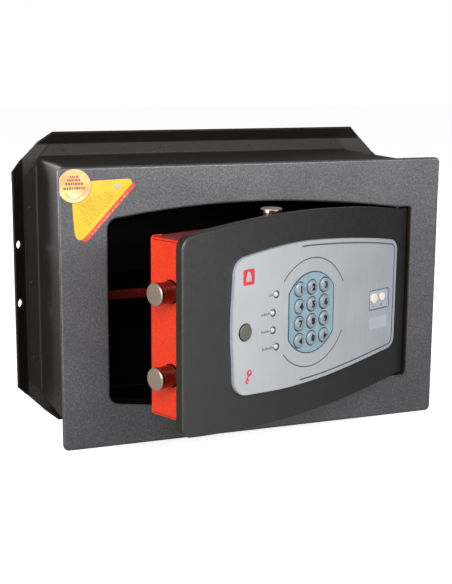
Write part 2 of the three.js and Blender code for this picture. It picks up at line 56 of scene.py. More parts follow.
HINGE_X, HINGE_Y = 119, 3
DOOR_ANGLE = 24.45
FIXED = Matrix.Translation((0, -0.140, 0))
SWING = (FIXED @ Matrix.Translation((HINGE_X * MM, HINGE_Y * MM, 0)) @ rotation(DOOR_ANGLE, "Z")
         @ Matrix.Translation((-HINGE_X * MM, -HINGE_Y * MM, 0)))

# The arched opening of the frame, whose outline the door follows
OPENING_Z = -2.2  # height of its middle
OPENING_HALF = 78.0
ARCH_RADIUS = 800.0
ARCH_END = 118.0  # the edges run straight beyond this x

SEAL_X, SEAL_Z, SEAL_RADIUS = -143.6, 91.8, 12.1
OVERRIDE = (-61.5, -5.8)  # centre of the round hole at the left of the door
OVERRIDE_RADIUS = 4.9


# ------------------------------------------------------------------ outlines
def area(loop):
    return 0.5 * sum(a[0] * b[1] - b[0] * a[1] for a, b in zip(loop, loop[1:] + loop[:1]))


def ccw(loop):
    """The outline, anticlockwise."""
    return loop if area(loop) > 0 else loop[::-1]


def inset(loop, distance):
    """Moves an anticlockwise outline inwards, or outwards when the distance is negative."""
    moved = []
    for i, (x, z) in enumerate(loop):
        before, after = loop[i - 1], loop[(i + 1) % len(loop)]
        in_x, in_z = x - before[0], z - before[1]
        out_x, out_z = after[0] - x, after[1] - z
        in_length = math.hypot(in_x, in_z) or 1
        out_length = math.hypot(out_x, out_z) or 1
        in_normal = (-in_z / in_length, in_x / in_length)
        out_normal = (-out_z / out_length, out_x / out_length)
        dot = in_normal[0] * out_normal[0] + in_normal[1] * out_normal[1]
        scale = distance / max(0.35, 1 + dot)
        moved.append((x + (in_normal[0] + out_normal[0]) * scale,
                      z + (in_normal[1] + out_normal[1]) * scale))
    return moved


def fillet(before, corner, after, radius, steps):
    """The arc that rounds one corner between its two neighbours."""
    corner = Vector(corner)
    to_before = (Vector(before) - corner).normalized()
    to_after = (Vector(after) - corner).normalized()
    half = math.acos(max(-1, min(1, to_before.dot(to_after)))) / 2
    centre = corner + (to_before + to_after).normalized() * (radius / math.sin(half))
    start = corner + to_before * (radius / math.tan(half)) - centre
    end = corner + to_after * (radius / math.tan(half)) - centre
    first, last = math.atan2(start.y, start.x), math.atan2(end.y, end.x)
    while last - first > math.pi:
        last -= 2 * math.pi
    while last - first < -math.pi:
        last += 2 * math.pi
    angles = [first + (last - first) * k / steps for k in range(steps + 1)]
    return [(centre.x + radius * math.cos(a), centre.y + radius * math.sin(a)) for a in angles]


def rounded(polygon, steps):
    """Rounds the corners of a polygon given as (x, z, radius)."""
    outline = []
    for i, (x, z, radius) in enumerate(polygon):
        if radius:
            after = polygon[(i + 1) % len(polygon)]
            outline += fillet(polygon[i - 1][:2], (x, z), after[:2], radius, steps)
        else:
            outline.append((x, z))
    return outline


def bend(points, radius):
    """Rounds the inner corners of an open path of 2-D points."""
    path = [points[0]]
    for before, corner, after in zip(points, points[1:], points[2:]):
        path += fillet(before, corner, after, radius, 6)
    return path + [points[-1]]


def rect(x0, x1, z0, z1, radius=0.0, steps=5):
    return rounded([(x0, z0, radius), (x1, z0, radius), (x1, z1, radius), (x0, z1, radius)], steps)


def circle(x, z, radius, count):
    angles = [2 * math.pi * i / count for i in range(count)]
    return [(x + radius * math.cos(a), z + radius * math.sin(a)) for a in angles]


def arc(x, z, radius, start, end, steps=40):
    """Points on an arc between two angles in degrees."""
    angles = [math.radians(start + (end - start) * k / steps) for k in range(steps + 1)]
    return [(x + radius * math.cos(a), z + radius * math.sin(a)) for a in angles]


def interpolate(table, x):
    """Straight-line interpolation in a table of (x, value) pairs."""
    if x <= table[0][0]:
        return table[0][1]
    for (x0, value0), (x1, value1) in zip(table, table[1:]):
        if x <= x1:
            return value0 + (value1 - value0) * (x - x0) / (x1 - x0)
    return table[-1][1]


def arch_drop(x):
    """How far the arch has fallen from its crown at x."""
    return ARCH_RADIUS - math.sqrt(ARCH_RADIUS ** 2 - min(x, ARCH_END) ** 2)


def arched(left, right, half, left_radius, right_radius, top, bottom=0.0):
    """The arched outline, anticlockwise from the lower left; top and bottom lower its edges."""
    def low(x):
        return OPENING_Z - half + arch_drop(x) - bottom

    def high(x):
        return OPENING_Z + half - arch_drop(x) - interpolate(top, x)

    xs = [-99 + 12 * k for k in range(17)] + [ARCH_END]
    polygon = [(left, low(left), left_radius)] + [(x, low(x), 0) for x in xs]
    polygon += [(right, low(right), right_radius), (right, high(right), right_radius)]
    polygon += [(x, high(x), 0) for x in reversed(xs)] + [(left, high(left), left_radius)]
    return rounded(polygon, 9)


# ------------------------------------------------------------------ mesh building
class Mesh:
    """Vertices in millimetres and faces with a material index."""

    def __init__(self, verts=(), faces=()):
        self.verts, self.faces = list(verts), list(faces)
        self.mats = [0] * len(self.faces)

    def face(self, corners, mat=0):
        self.faces.append(corners)
        self.mats.append(mat)

    def join(self, other, mat=None):
        base = len(self.verts)
        self.verts += other.verts
        self.faces += [tuple(base + i for i in face) for face in other.faces]
        self.mats += other.mats if mat is None else [mat] * len(other.faces)

    def moved(self, matrix):
        self.verts = [tuple(matrix @ Vector(point)) for point in self.verts]
        return self

    def paint(self, mat, test):
        """Gives a material to the faces whose centre (x, y, z) passes the test."""
        for i, face in enumerate(self.faces):
            corners = [self.verts[k] for k in face]
            if test(*(sum(values) / len(face) for values in zip(*corners))):
                self.mats[i] = mat


def rings(mesh, loops, closed=False, mat=0, flip=False):
    """Skins equal-length closed loops of 3-D points and returns the first vertex index."""
    size, base = len(loops[0]), len(mesh.verts)
    for loop in loops:
        mesh.verts += loop
    for k in range(len(loops) if closed else len(loops) - 1):
        here, there = base + k * size, base + (k + 1) % len(loops) * size
        for i in range(size):
            j = (i + 1) % size
            corners = (here + i, here + j, there + j, there + i)
            mesh.face(corners[::-1] if flip else corners, mat)
    return base


def cap(mesh, loops, flip=False):
    """Fills between an outer loop and hole loops, given as vertex indices."""
    indices = [i for loop in loops for i in loop]
    outlines = [[Vector((mesh.verts[i][0], mesh.verts[i][2], 0)) for i in loop] for loop in loops]
    for triangle in tessellate_polygon(outlines):
        corners = tuple(indices[i] for i in triangle)
        first, second, third = (Vector(mesh.verts[i]) for i in corners)
        turn = ((second.x - first.x) * (third.z - first.z)
                - (third.x - first.x) * (second.z - first.z))
        if abs(turn) >= 1e-9:
            mesh.face(corners[::-1] if (turn > 0) == flip else corners)


def edge_profile(y0, y1, front, back, steps=4):
    """(inset, y) round a slab's edge, from front face to back; front and back are radii."""
    angles = [math.pi / 2 * k / steps for k in range(steps + 1)]
    profile = [(0, y0)]
    if front > 0:
        profile = [(front * (1 - math.sin(a)), y0 + front * (1 - math.cos(a))) for a in angles]
    if back > 0:
        return profile + [(back * (1 - math.cos(a)), y1 - back * (1 - math.sin(a)))
                          for a in angles]
    return profile + [(0, y1)]


def skin(edges, side=0):
    """A plate in X and Z from (outline, edge profile) pairs: the outer edge, then the holes.
    side is the material of the edges."""
    mesh, fronts, backs = Mesh(), [], []
    for k, (outline, profile) in enumerate(edges):
        outline = ccw(outline)
        sign = -1 if k else 1
        loops = [[(x, y, z) for x, z in inset(outline, sign * depth)] for depth, y in profile]
        base = rings(mesh, loops, mat=side, flip=k > 0)
        end, size = len(mesh.verts), len(outline)
        fronts.append(range(base, base + size))
        backs.append(range(end - size, end))
    cap(mesh, fronts)
    cap(mesh, backs, flip=True)
    return mesh


def slab(outline, y0, y1, holes=(), front=0.0, back=0.0, hole_front=None, hole_back=None,
         steps=4, side=0):
    """A plate in X and Z from y0 to y1 with rounded edges, open at its holes."""
    hole_front = front if hole_front is None else hole_front
    hole_back = back if hole_back is None else hole_back
    hole_profile = edge_profile(y0, y1, hole_front, hole_back, steps)
    edges = [(outline, edge_profile(y0, y1, front, back, steps))]
    return skin(edges + [(hole, hole_profile) for hole in holes], side)


def lathe(profile, axis, at=(0, 0, 0), count=40):
    """A turned solid from (radius, distance) steps, closed on the axis at both ends."""
    def point(radius, distance, angle):
        c, s = radius * math.cos(angle), radius * math.sin(angle)
        turned = {"x": (distance, c, s), "y": (c, distance, s), "z": (c, s, distance)}[axis]
        return tuple(value + offset for value, offset in zip(turned, at))

    mesh, last = Mesh(), None
    for radius, distance in profile:
        size = 1 if radius < 1e-6 else count
        ring = range(len(mesh.verts), len(mesh.verts) + size)
        mesh.verts += [point(radius, distance, 2 * math.pi * i / count) for i in range(size)]
        for i in range(count) if last else ():
            j = (i + 1) % count
            if len(last) == 1:
                mesh.face((last[0], ring[j], ring[i]))
            elif size == 1:
                mesh.face((last[i], last[j], ring[0]))
            else:
                mesh.face((last[i], last[j], ring[j], ring[i]))
        last = ring
    return mesh


def peg(axis, radius, start, end, at=(0, 0, 0), count=40):
    """A plain cylinder."""
    return lathe([(0, start), (radius, start), (radius, end), (0, end)], axis, at, count)


def box(x0, x1, y0, y1, z0, z1):
    verts = [(x, y, z) for x in (x0, x1) for y in (y0, y1) for z in (z0, z1)]
    return Mesh(verts, [(0, 1, 3, 2), (4, 6, 7, 5), (0, 4, 5, 1),
                        (2, 3, 7, 6), (0, 2, 6, 4), (1, 5, 7, 3)])


def both_sides(path, width, closed=False):
    """Pairs of points half a width to either side of each point of a 2-D path."""
    count, pairs = len(path), []
    for i, (u, v) in enumerate(path):
        before = path[i - 1] if i or closed else path[i]
        after = path[(i + 1) % count] if i < count - 1 or closed else path[i]
        run, rise = after[0] - before[0], after[1] - before[1]
        length = math.hypot(run, rise) or 1
        du, dv = -rise / length * width / 2, run / length * width / 2
        pairs.append(((u + du, v + dv), (u - du, v - dv)))
    return pairs


def bar(sections, closed=False):
    """Skins four-cornered sections, with ends unless they close on themselves."""
    mesh = Mesh()
    rings(mesh, sections, closed)
    if not closed:
        last = 4 * (len(sections) - 1)
        mesh.face((3, 2, 1, 0))
        mesh.face((last, last + 1, last + 2, last + 3))
    return mesh


def sheet(path, half_lengths):
    """A folded strip of 2 mm sheet, lying along X above the middle.
    path is (z, y) down the middle of the sheet, with a half length for each point."""
    sections = []
    for ((az, ay), (bz, by)), half in zip(both_sides(path, 2.0), half_lengths):
        sections.append([(-half, ay, az), (half, ay, az), (half, by, bz), (-half, by, bz)])
    return bar(sections)


def ribbon(path, width, y0, y1, closed=False):
    """A thin flat line of even width along a path in X and Z."""
    return bar([[(ax, y0, az), (ax, y1, az), (bx, y1, bz), (bx, y0, bz)]
                for (ax, az), (bx, bz) in both_sides(path, width, closed)], closed)


def glyph(text, height, depth, bold):
    """A character as a closed solid, facing -Y, centred, with its given height."""
    curve = bpy.data.curves.new("glyph", "FONT")
    curve.body = text
    curve.size = 1.0
    curve.extrude = 0.5
    curve.offset = bold
    curve.resolution_u = 4
    ob = bpy.data.objects.new("glyph", curve)
    COLLECTION.objects.link(ob)
    depsgraph = bpy.context.evaluated_depsgraph_get()
    data = bpy.data.meshes.new_from_object(ob.evaluated_get(depsgraph))
    verts = [tuple(vert.co) for vert in data.vertices]
    faces = [tuple(polygon.vertices) for polygon in data.polygons]
    bpy.data.objects.remove(ob)
    bpy.data.meshes.remove(data)
    bpy.data.curves.remove(curve)
    x0, x1 = min(v[0] for v in verts), max(v[0] for v in verts)
    y0, y1 = min(v[1] for v in verts), max(v[1] for v in verts)
    scale = height / (y1 - y0)
    return Mesh([((x - (x0 + x1) / 2) * scale, -z * depth, (y - (y0 + y1) / 2) * scale)
                 for x, y, z in verts], faces)


def build(mesh, name):
    """Turns a gathered mesh into Blender mesh data in metres."""
    data = bpy.data.meshes.new(name)
    data.from_pydata([(x * MM, y * MM, z * MM) for x, y, z in mesh.verts], [], mesh.faces)
    data.polygons.foreach_set("material_index", mesh.mats)
    bm = bmesh.new()
    bm.from_mesh(data)
    bmesh.ops.remove_doubles(bm, verts=bm.verts, dist=1e-7)
    bmesh.ops.recalc_face_normals(bm, faces=bm.faces)
    bm.to_mesh(data)
    bm.free()
    data.update()
    return data


def subtract(data, cutters):
    """Cuts solids out of mesh data and returns the new mesh data."""
    ob = bpy.data.objects.new("cut", data)
    COLLECTION.objects.link(ob)
    tools = []
    for cutter in cutters:
        tool = bpy.data.objects.new("tool", build(cutter, "tool"))
        COLLECTION.objects.link(tool)
        tools.append(tool)
        cut = ob.modifiers.new("cut", "BOOLEAN")
        cut.operation = "DIFFERENCE"
        cut.solver = "EXACT"
        cut.object = tool
    depsgraph = bpy.context.evaluated_depsgraph_get()
    result = bpy.data.meshes.new_from_object(ob.evaluated_get(depsgraph))
    for temporary in tools + [ob]:
        bpy.data.objects.remove(temporary)
    return result


def round_edges(ob, width, angle):
    """Bevels the edges sharper than an angle in degrees."""
    bevel = ob.modifiers.new("edge", "BEVEL")
    bevel.width = width * MM
    bevel.segments = 2
    bevel.limit_method = "ANGLE"
    bevel.angle_limit = math.radians(angle)


def piece(mesh, name, body, finishes, replaces=(), cuts=(), sharp=40, bevel=0.0):
    """Makes the object: mesh, finish, place, smooth shading, and the body it rides on."""
    data = build(mesh, name)
    if cuts:
        data = subtract(data, cuts)
        data.name = name
    mats = [polygon.material_index for polygon in data.polygons]
    data.materials.clear()
    for finish in finishes:
        data.materials.append(FINISHES[finish])
    data.polygons.foreach_set("material_index", mats)  # restored after the clearing
    data.shade_smooth()
    data.set_sharp_from_angle(angle=math.radians(sharp))
    ob = bpy.data.objects.new(name, data)
    COLLECTION.objects.link(ob)
    ob.matrix_world = FIXED if body == "housing" else SWING
    if bevel:
        round_edges(ob, bevel, angle=35)
    normals = ob.modifiers.new("normals", "WEIGHTED_NORMAL")
    normals.keep_sharp = True
    normals.weight = 80
    normals.thresh = 0.01
    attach(ob, body)
    if replaces:
        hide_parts(*replaces)


# ------------------------------------------------------------------ finishes
FINISHES = {}  # materials by name

# Painted highlight, paler towards the left and fading out across X: x at full amount, x at none,
# amount, sRGB colour
PAINTED_HIGHLIGHT_SWEEPS = {
    "door_satin_charcoal": (-118, 70, 0.58, (74, 74, 73)),
    "fascia_brushed_silver": (-85, 90, 0.36, (255, 255, 255)),
}


def linear(rgb):
    """A linear RGBA colour from 0-255 sRGB."""
    return tuple(((c / 255) / 12.92 if c / 255 <= 0.04045 else ((c / 255 + 0.055) / 1.055) ** 2.4)
                 for c in rgb) + (1.0,)


def scaled(colour, factor, lift=0.0):
    return tuple(min(1, value * factor + lift) for value in colour[:3]) + (1,)


class Finish:
    """Builds one node material, in millimetres of the piece's own frame."""

    def __init__(self, name, **inputs):
        self.name = name
        self.material = FINISHES[name] = bpy.data.materials.new(name)
        self.material.use_nodes = True
        self.tree = self.material.node_tree
        self.tree.nodes.clear()
        self.output = self.node("OutputMaterial")
        self.shader = self.node("BsdfPrincipled")
        self.feed(self.output.inputs[0], self.shader.outputs[0])
        self.set(**inputs)
        self.texture = self.node("TexCoord")
        self.normal = None

    def node(self, kind):
        return self.tree.nodes.new("ShaderNode" + kind)

    def feed(self, socket, value):
        """Links an output into a socket, or sets a plain value on it."""
        if isinstance(value, (int, float, tuple)):
            socket.default_value = value
        else:
            self.tree.links.new(value, socket)

    def set(self, **inputs):
        """Feeds the shader's inputs, named with underscores for spaces."""
        for name, value in inputs.items():
            self.feed(self.shader.inputs[name.replace("_", " ")], value)

    def coords(self, stretch=(1, 1, 1), offset=(0, 0, 0)):
        mapping = self.node("Mapping")
        mapping.inputs["Scale"].default_value = [1000 / value for value in stretch]
        mapping.inputs["Location"].default_value = offset
        self.feed(mapping.inputs["Vector"], self.texture.outputs["Object"])
        return mapping.outputs[0]

    def axis(self, name, vector=None):
        """One component of a vector, or of the position when none is given."""
        split = self.node("SeparateXYZ")
        self.feed(split.inputs[0], self.coords() if vector is None else vector)
        return split.outputs[name]

    def noise(self, size, detail=2.0, stretch=(1, 1, 1), offset=(0, 0, 0), rough=0.5):
        """Noise with features of about `size`, drawn out along axes where stretch is above 1."""
        noise = self.node("TexNoise")
        noise.inputs["Scale"].default_value = 1.0 / size
        noise.inputs["Detail"].default_value = detail
        noise.inputs["Roughness"].default_value = rough
        self.feed(noise.inputs["Vector"], self.coords(stretch, offset))
        return noise.outputs[0]

    def ramp(self, value, between, to=(0.0, 1.0)):
        """Maps a value from the range `between` to the range `to`."""
        ramp = self.node("MapRange")
        for name, limit in zip(("From Min", "From Max", "To Min", "To Max"), (*between, *to)):
            ramp.inputs[name].default_value = limit
        self.feed(ramp.inputs["Value"], value)
        return ramp.outputs[0]

    def calculate(self, operation, first, second=0.0):
        node = self.node("Math")
        node.operation = operation
        self.feed(node.inputs[0], first)
        self.feed(node.inputs[1], second)
        return node.outputs[0]

    def mix(self, first, second, factor):
        mix = self.node("Mix")
        mix.data_type = "RGBA"
        for index, value in ((6, first), (7, second), (0, factor)):
            self.feed(mix.inputs[index], value)
        return mix.outputs[2]

    def with_painted_highlight(self, colour):
        """The colour with the painted highlight listed for this finish, if there is one."""
        if self.name not in PAINTED_HIGHLIGHT_SWEEPS:
            return colour
        full, none, amount, pale = PAINTED_HIGHLIGHT_SWEEPS[self.name]
        fade = self.ramp(self.axis("X"), between=(full, none), to=(amount, 0.0))
        return self.mix(colour, linear(pale), fade)

    def bump(self, height, depth, strength=1.0):
        """Adds a bump over those already there."""
        bump = self.node("Bump")
        bump.inputs["Distance"].default_value = depth * MM
        bump.inputs["Strength"].default_value = strength
        self.feed(bump.inputs["Height"], height)
        if self.normal is not None:
            self.feed(bump.inputs["Normal"], self.normal)
        self.normal = bump.outputs[0]
        self.set(Normal=self.normal)


def textured_paint(name, dark, light, rough, metal, grain, depth, fleck, specular):
    """Baked-on paint: fine grain in colour and bump, slow clouding, and light flecks."""
    dark, light = linear(dark), linear(light)
    finish = Finish(name, Roughness=rough, Metallic=metal, Specular_IOR_Level=specular)
    fine = finish.noise(size=grain, detail=3.0, rough=0.65)
    cloud = finish.ramp(finish.noise(size=38, offset=(3, 9, 4)), between=(0.35, 0.75), to=(0, 0.4))
    colour = finish.mix(dark, light, finish.ramp(fine, between=(0.33, 0.67)))
    colour = finish.mix(colour, scaled(dark, 0.8), cloud)
    if fleck:
        dots = finish.noise(size=grain * 0.75, detail=1.0, offset=(31, 7, 17))
        dots = finish.ramp(dots, between=(0.64, 0.78), to=(0, fleck))
        colour = finish.mix(colour, scaled(light, 2.1, lift=0.05), dots)
    patches = finish.noise(size=grain * 3, offset=(5, 5, 5))
    # the base colour carries the painted highlight where this finish has one
    finish.set(Base_Color=finish.with_painted_highlight(colour),
               Roughness=finish.ramp(patches, between=(0.3, 0.7), to=(rough - 0.06, rough + 0.06)))
    finish.bump(fine, depth)
    finish.bump(finish.noise(size=grain * 6, offset=(1, 2, 3)), depth * 1.4, strength=0.6)


def satin_metal(name, dark, light, rough, stretch, depth, size, metal):
    """Brushed metal: hair lines drawn out along one axis, in colour, roughness and bump."""
    dark, light = linear(dark), linear(light)
    finish = Finish(name, Roughness=rough, Metallic=metal)
    hair = finish.noise(size=size, detail=3.0, stretch=stretch, rough=0.7)
    broad = finish.noise(size=size * 5, stretch=stretch, offset=(9, 1, 5))
    cloud = finish.noise(size=30, offset=(2, 8, 1))
    colour = finish.mix(dark, light, finish.ramp(hair, between=(0.3, 0.7)))
    colour = finish.mix(colour, dark, finish.ramp(broad, between=(0.45, 0.75), to=(0, 0.45)))
    colour = finish.mix(colour, scaled(dark, 0.86),
                        finish.ramp(cloud, between=(0.4, 0.75), to=(0, 0.4)))
    # the base colour carries the painted highlight where this finish has one
    finish.set(Base_Color=finish.with_painted_highlight(colour),
               Roughness=finish.ramp(hair, between=(0.3, 0.7), to=(rough - 0.07, rough + 0.08)))
    finish.bump(hair, depth)


def plastic(name, dark, light, rough, grain, depth, specular=0.5, coat=0.0):
    """Moulded plastic, film or print with a faint grain."""
    dark, light = linear(dark), linear(light)
    finish = Finish(name, Roughness=rough, Specular_IOR_Level=specular, Coat_Weight=coat,
                    Coat_Roughness=0.15)
    fine = finish.noise(size=grain, detail=3.0, rough=0.6)
    cloud = finish.ramp(finish.noise(size=14, offset=(4, 4, 1)), between=(0.4, 0.7), to=(0, 0.5))
    colour = finish.mix(dark, light, finish.ramp(fine, between=(0.35, 0.65)))
    patches = finish.noise(size=grain * 4, offset=(7, 1, 2))
    finish.set(Base_Color=finish.mix(colour, scaled(dark, 0.9), cloud),
               Roughness=finish.ramp(patches, between=(0.3, 0.7), to=(rough - 0.05, rough + 0.06)))
    finish.bump(fine, depth)


# name, dark and light sRGB, roughness, metallic, grain size, bump depth, fleck amount, specular
for row in (
    ("frame_textured_grey", (64, 64, 66), (101, 101, 104), 0.42, 0.45, 1.6, 0.10, 0.35, 1.0),
    ("door_satin_charcoal", (28, 28, 29), (40, 40, 41), 0.40, 0.25, 1.0, 0.06, 0.3, 0.66),
    # door edge paint, also used as painted light on the frame's hinge-side jamb
    ("door_edge_paint", (34, 29, 26), (48, 42, 38), 0.42, 0.2, 1.0, 0.06, 0.1, 0.5),
    ("body_dark_primer", (31, 27, 24), (43, 39, 35), 0.48, 0.15, 0.8, 0.05, 0.1, 0.3),
    # near-black interior: dark paint, darkened further as painted shade
    ("interior_black_paint", (5, 3, 3), (10, 7, 7), 0.55, 0.0, 0.8, 0.05, 0.0, 0.08),
    ("lip_gloss_black", (16, 14, 14), (26, 24, 24), 0.22, 0.0, 0.9, 0.03, 0.0, 0.5),
    ("back_plate_primer", (44, 41, 39), (58, 54, 51), 0.5, 0.15, 0.8, 0.05, 0.1, 0.3),
    # darker back plate paint, painted shade where it covers the forward-bent lips
    ("back_plate_black", (24, 21, 20), (36, 32, 31), 0.5, 0.2, 0.9, 0.05, 0.0, 0.4),
):
    textured_paint(*row)

# name, dark and light sRGB, roughness, stretch of the lines, bump depth, line size, metallic
EVEN = (1, 1, 1)
for row in (
    ("fascia_brushed_silver", (180, 185, 192), (194, 199, 205), 0.40, (1, 1, 40),
     0.004, 0.35, 0.45),
    ("contact_pale_gold", (238, 220, 202), (250, 238, 226), 0.4, EVEN, 0.01, 0.4, 0.15),
    ("cover_olive_grey", (104, 103, 96), (124, 123, 116), 0.5, (1, 1, 6), 0.012, 0.4, 0.4),
    ("bolt_satin_nickel", (168, 146, 130), (188, 166, 148), 0.32, EVEN, 0.012, 0.4, 0.7),
    ("bolt_polished_shaft_upright", (186, 174, 166), (204, 192, 184), 0.2, EVEN, 0.002, 0.6, 1.0),
    # the side bolts' shaft finish is darker than the upright ones': painted shade
    ("bolt_polished_shaft", (100, 92, 88), (122, 114, 109), 0.14, EVEN, 0.002, 0.6, 1.0),
    ("plated_steel", (168, 166, 160), (200, 198, 192), 0.3, (6, 1, 1), 0.015, 0.4, 1.0),
    ("nut_brass", (170, 134, 62), (206, 170, 92), 0.32, (1, 6, 1), 0.015, 0.4, 1.0),
):
    satin_metal(*row)

# name, dark and light sRGB, roughness, grain size, bump depth
for row in (
    # darker silver for the fascia's sides: painted shade
    ("fascia_edge_silver", (150, 154, 160), (166, 170, 176), 0.5, 0.25, 0.004),
    ("printed_dark_grey", (70, 74, 80), (86, 90, 96), 0.5, 0.3, 0.004),
    ("fascia_blank_field", (162, 170, 179), (172, 180, 188), 0.5, 0.4, 0.004),
    ("printed_mid_grey", (104, 108, 114), (120, 124, 130), 0.5, 0.3, 0.004),
    ("printed_dark_teal", (40, 62, 74), (54, 76, 88), 0.5, 0.3, 0.004),
    ("keypad_pale_blue", (130, 155, 167), (146, 171, 182), 0.45, 0.5, 0.02),
    ("key_ink_black", (14, 16, 22), (24, 27, 33), 0.45, 0.3, 0.004),
    ("contact_window_grey", (160, 168, 176), (178, 186, 194), 0.35, 0.5, 0.006),
    ("label_yellow_film", (232, 174, 34), (241, 186, 54), 0.4, 1.2, 0.006),
    ("label_amber_print", (206, 150, 36), (220, 166, 52), 0.42, 0.6, 0.004),
    ("label_red_film", (222, 66, 44), (236, 92, 70), 0.4, 0.8, 0.006),
    ("seal_brown_print", (128, 78, 60), (148, 94, 74), 0.42, 0.5, 0.004),
    ("label_olive_print", (116, 94, 36), (134, 108, 46), 0.42, 0.5, 0.004),
    ("label_grey_emblem", (150, 150, 120), (200, 200, 176), 0.35, 0.5, 0.01),
    ("label_pale_pink", (240, 168, 150), (250, 188, 172), 0.42, 0.6, 0.004),
    ("seal_pale_gold", (206, 176, 128), (224, 198, 152), 0.42, 0.6, 0.004),
    ("seal_pale_field", (206, 208, 186), (222, 224, 204), 0.42, 0.6, 0.004),
    ("pictogram_red", (206, 50, 52), (226, 72, 72), 0.42, 0.5, 0.004),
    ("moulded_black", (24, 24, 26), (38, 38, 40), 0.5, 0.8, 0.03),
    ("board_green", (28, 84, 50), (42, 104, 64), 0.35, 0.9, 0.01),
    ("cell_wrap_green", (40, 104, 66), (58, 128, 84), 0.3, 0.8, 0.01),
):
    plastic(*row)
plastic("key_satin_grey", (124, 136, 144), (152, 164, 172), rough=0.24, grain=0.35, depth=0.010,
        specular=0.7)
plastic("led_white_lens", (176, 180, 182), (204, 207, 208), rough=0.10, grain=0.6, depth=0.004,
        coat=1.0)


def red_paint():
    """Glossy stove enamel with a slight orange peel, and painted shade on its upward faces."""
    finish = Finish("cover_red_enamel", Roughness=0.36, Specular_IOR_Level=0.35,
                    Coat_Weight=0.12, Coat_Roughness=0.2)
    peel = finish.noise(size=1.6)
    cloud = finish.noise(size=26, offset=(1, 7, 2))
    colour = finish.mix(linear((206, 46, 17)), linear((220, 60, 26)),
                        finish.ramp(peel, between=(0.35, 0.65)))
    colour = finish.mix(colour, linear((196, 38, 17)),
                        finish.ramp(cloud, between=(0.45, 0.75), to=(0, 0.4)))
    # painted shade: the upward faces are darker
    upward = finish.axis("Z", finish.texture.outputs["Normal"])
    colour = finish.mix(colour, linear((116, 4, 12)),
                        finish.ramp(upward, between=(0.6, 0.95), to=(0, 0.9)))
    finish.set(Base_Color=colour, Roughness=finish.ramp(
        finish.noise(size=5), between=(0.3, 0.7), to=(0.3, 0.42)))
    finish.bump(peel, depth=0.03)


def shelf_paint():
    """Dark red enamel with light overspray flecks."""
    finish = Finish("shelf_dark_red", Roughness=0.55, Specular_IOR_Level=0.2)
    grain = finish.noise(size=1.2, detail=3.0)
    flecks = finish.noise(size=0.9, detail=1.0, offset=(3, 3, 8))
    colour = finish.mix(linear((76, 4, 3)), linear((104, 10, 8)),
                        finish.ramp(grain, between=(0.35, 0.65)))
    colour = finish.mix(colour, linear((196, 150, 140)),
                        finish.ramp(flecks, between=(0.70, 0.78), to=(0, 0.8)))
    finish.set(Base_Color=colour, Roughness=finish.ramp(
        finish.noise(size=6), between=(0.3, 0.7), to=(0.44, 0.56)))
    finish.bump(grain, depth=0.04)


def seal_foil():
    """Gold foil disc: a sheen down its height and fine engine turning."""
    finish = Finish("seal_gold_foil", Roughness=0.34, Metallic=0.55)
    calculate = finish.calculate
    dx = calculate("ADD", finish.axis("X"), -SEAL_X)
    dz = calculate("SUBTRACT", finish.axis("Z"), SEAL_Z)
    squares = calculate("ADD", calculate("MULTIPLY", dx, dx), calculate("MULTIPLY", dz, dz))
    turns_per_mm = 7.0  # radians of the ring wave in each millimetre of radius
    rings_wave = calculate("SINE", calculate("MULTIPLY", calculate("SQRT", squares), turns_per_mm))
    colour = finish.mix(linear((240, 190, 126)), linear((246, 224, 148)),
                        finish.ramp(dz, between=(6.0, -8.0)))
    colour = finish.mix(colour, linear((224, 150, 120)),
                        finish.ramp(finish.noise(size=7), between=(0.45, 0.7), to=(0, 0.6)))
    colour = finish.mix(colour, linear((190, 140, 70)),
                        finish.ramp(rings_wave, between=(0.5, 1.0), to=(0, 0.35)))
    finish.set(Base_Color=colour,
               Roughness=finish.ramp(rings_wave, between=(-1, 1), to=(0.28, 0.42)))
    finish.bump(rings_wave, depth=0.02)


red_paint()
shelf_paint()
seal_foil()

# ------------------------------------------------------------------ fixed shell
# (x, how far the top edge is lowered)
OPENING_TOP = ((-119, 0.6), (-102, 0.7), (-69, 0.35), (-11, 0.3), (13, 0.5), (46, 0.9),
               (104, 1.05), (130, 0.9))
SOCKET_TOP = OPENING_Z + OPENING_HALF - arch_drop(105.0)  # opening's edge by the hinge pins
SOCKET_BOTTOM = 2 * OPENING_Z - SOCKET_TOP
SHELL_X, SHELL_Z, SHELL_WALL = 141.2, 101.4, 2.0  # half sizes and wall of the body
INTERIOR_X, INTERIOR_Z = 139.1, 99.3  # half sizes of what lines the inside
SHELL_BACK = 137.0
WELD_X, WELD_Z = (-119.7, -35.9, 45.0, 123.7), (60.0, -2.4, -66.6)
WELD_HIGH, WELD_SIDE = 107.5, 147.4


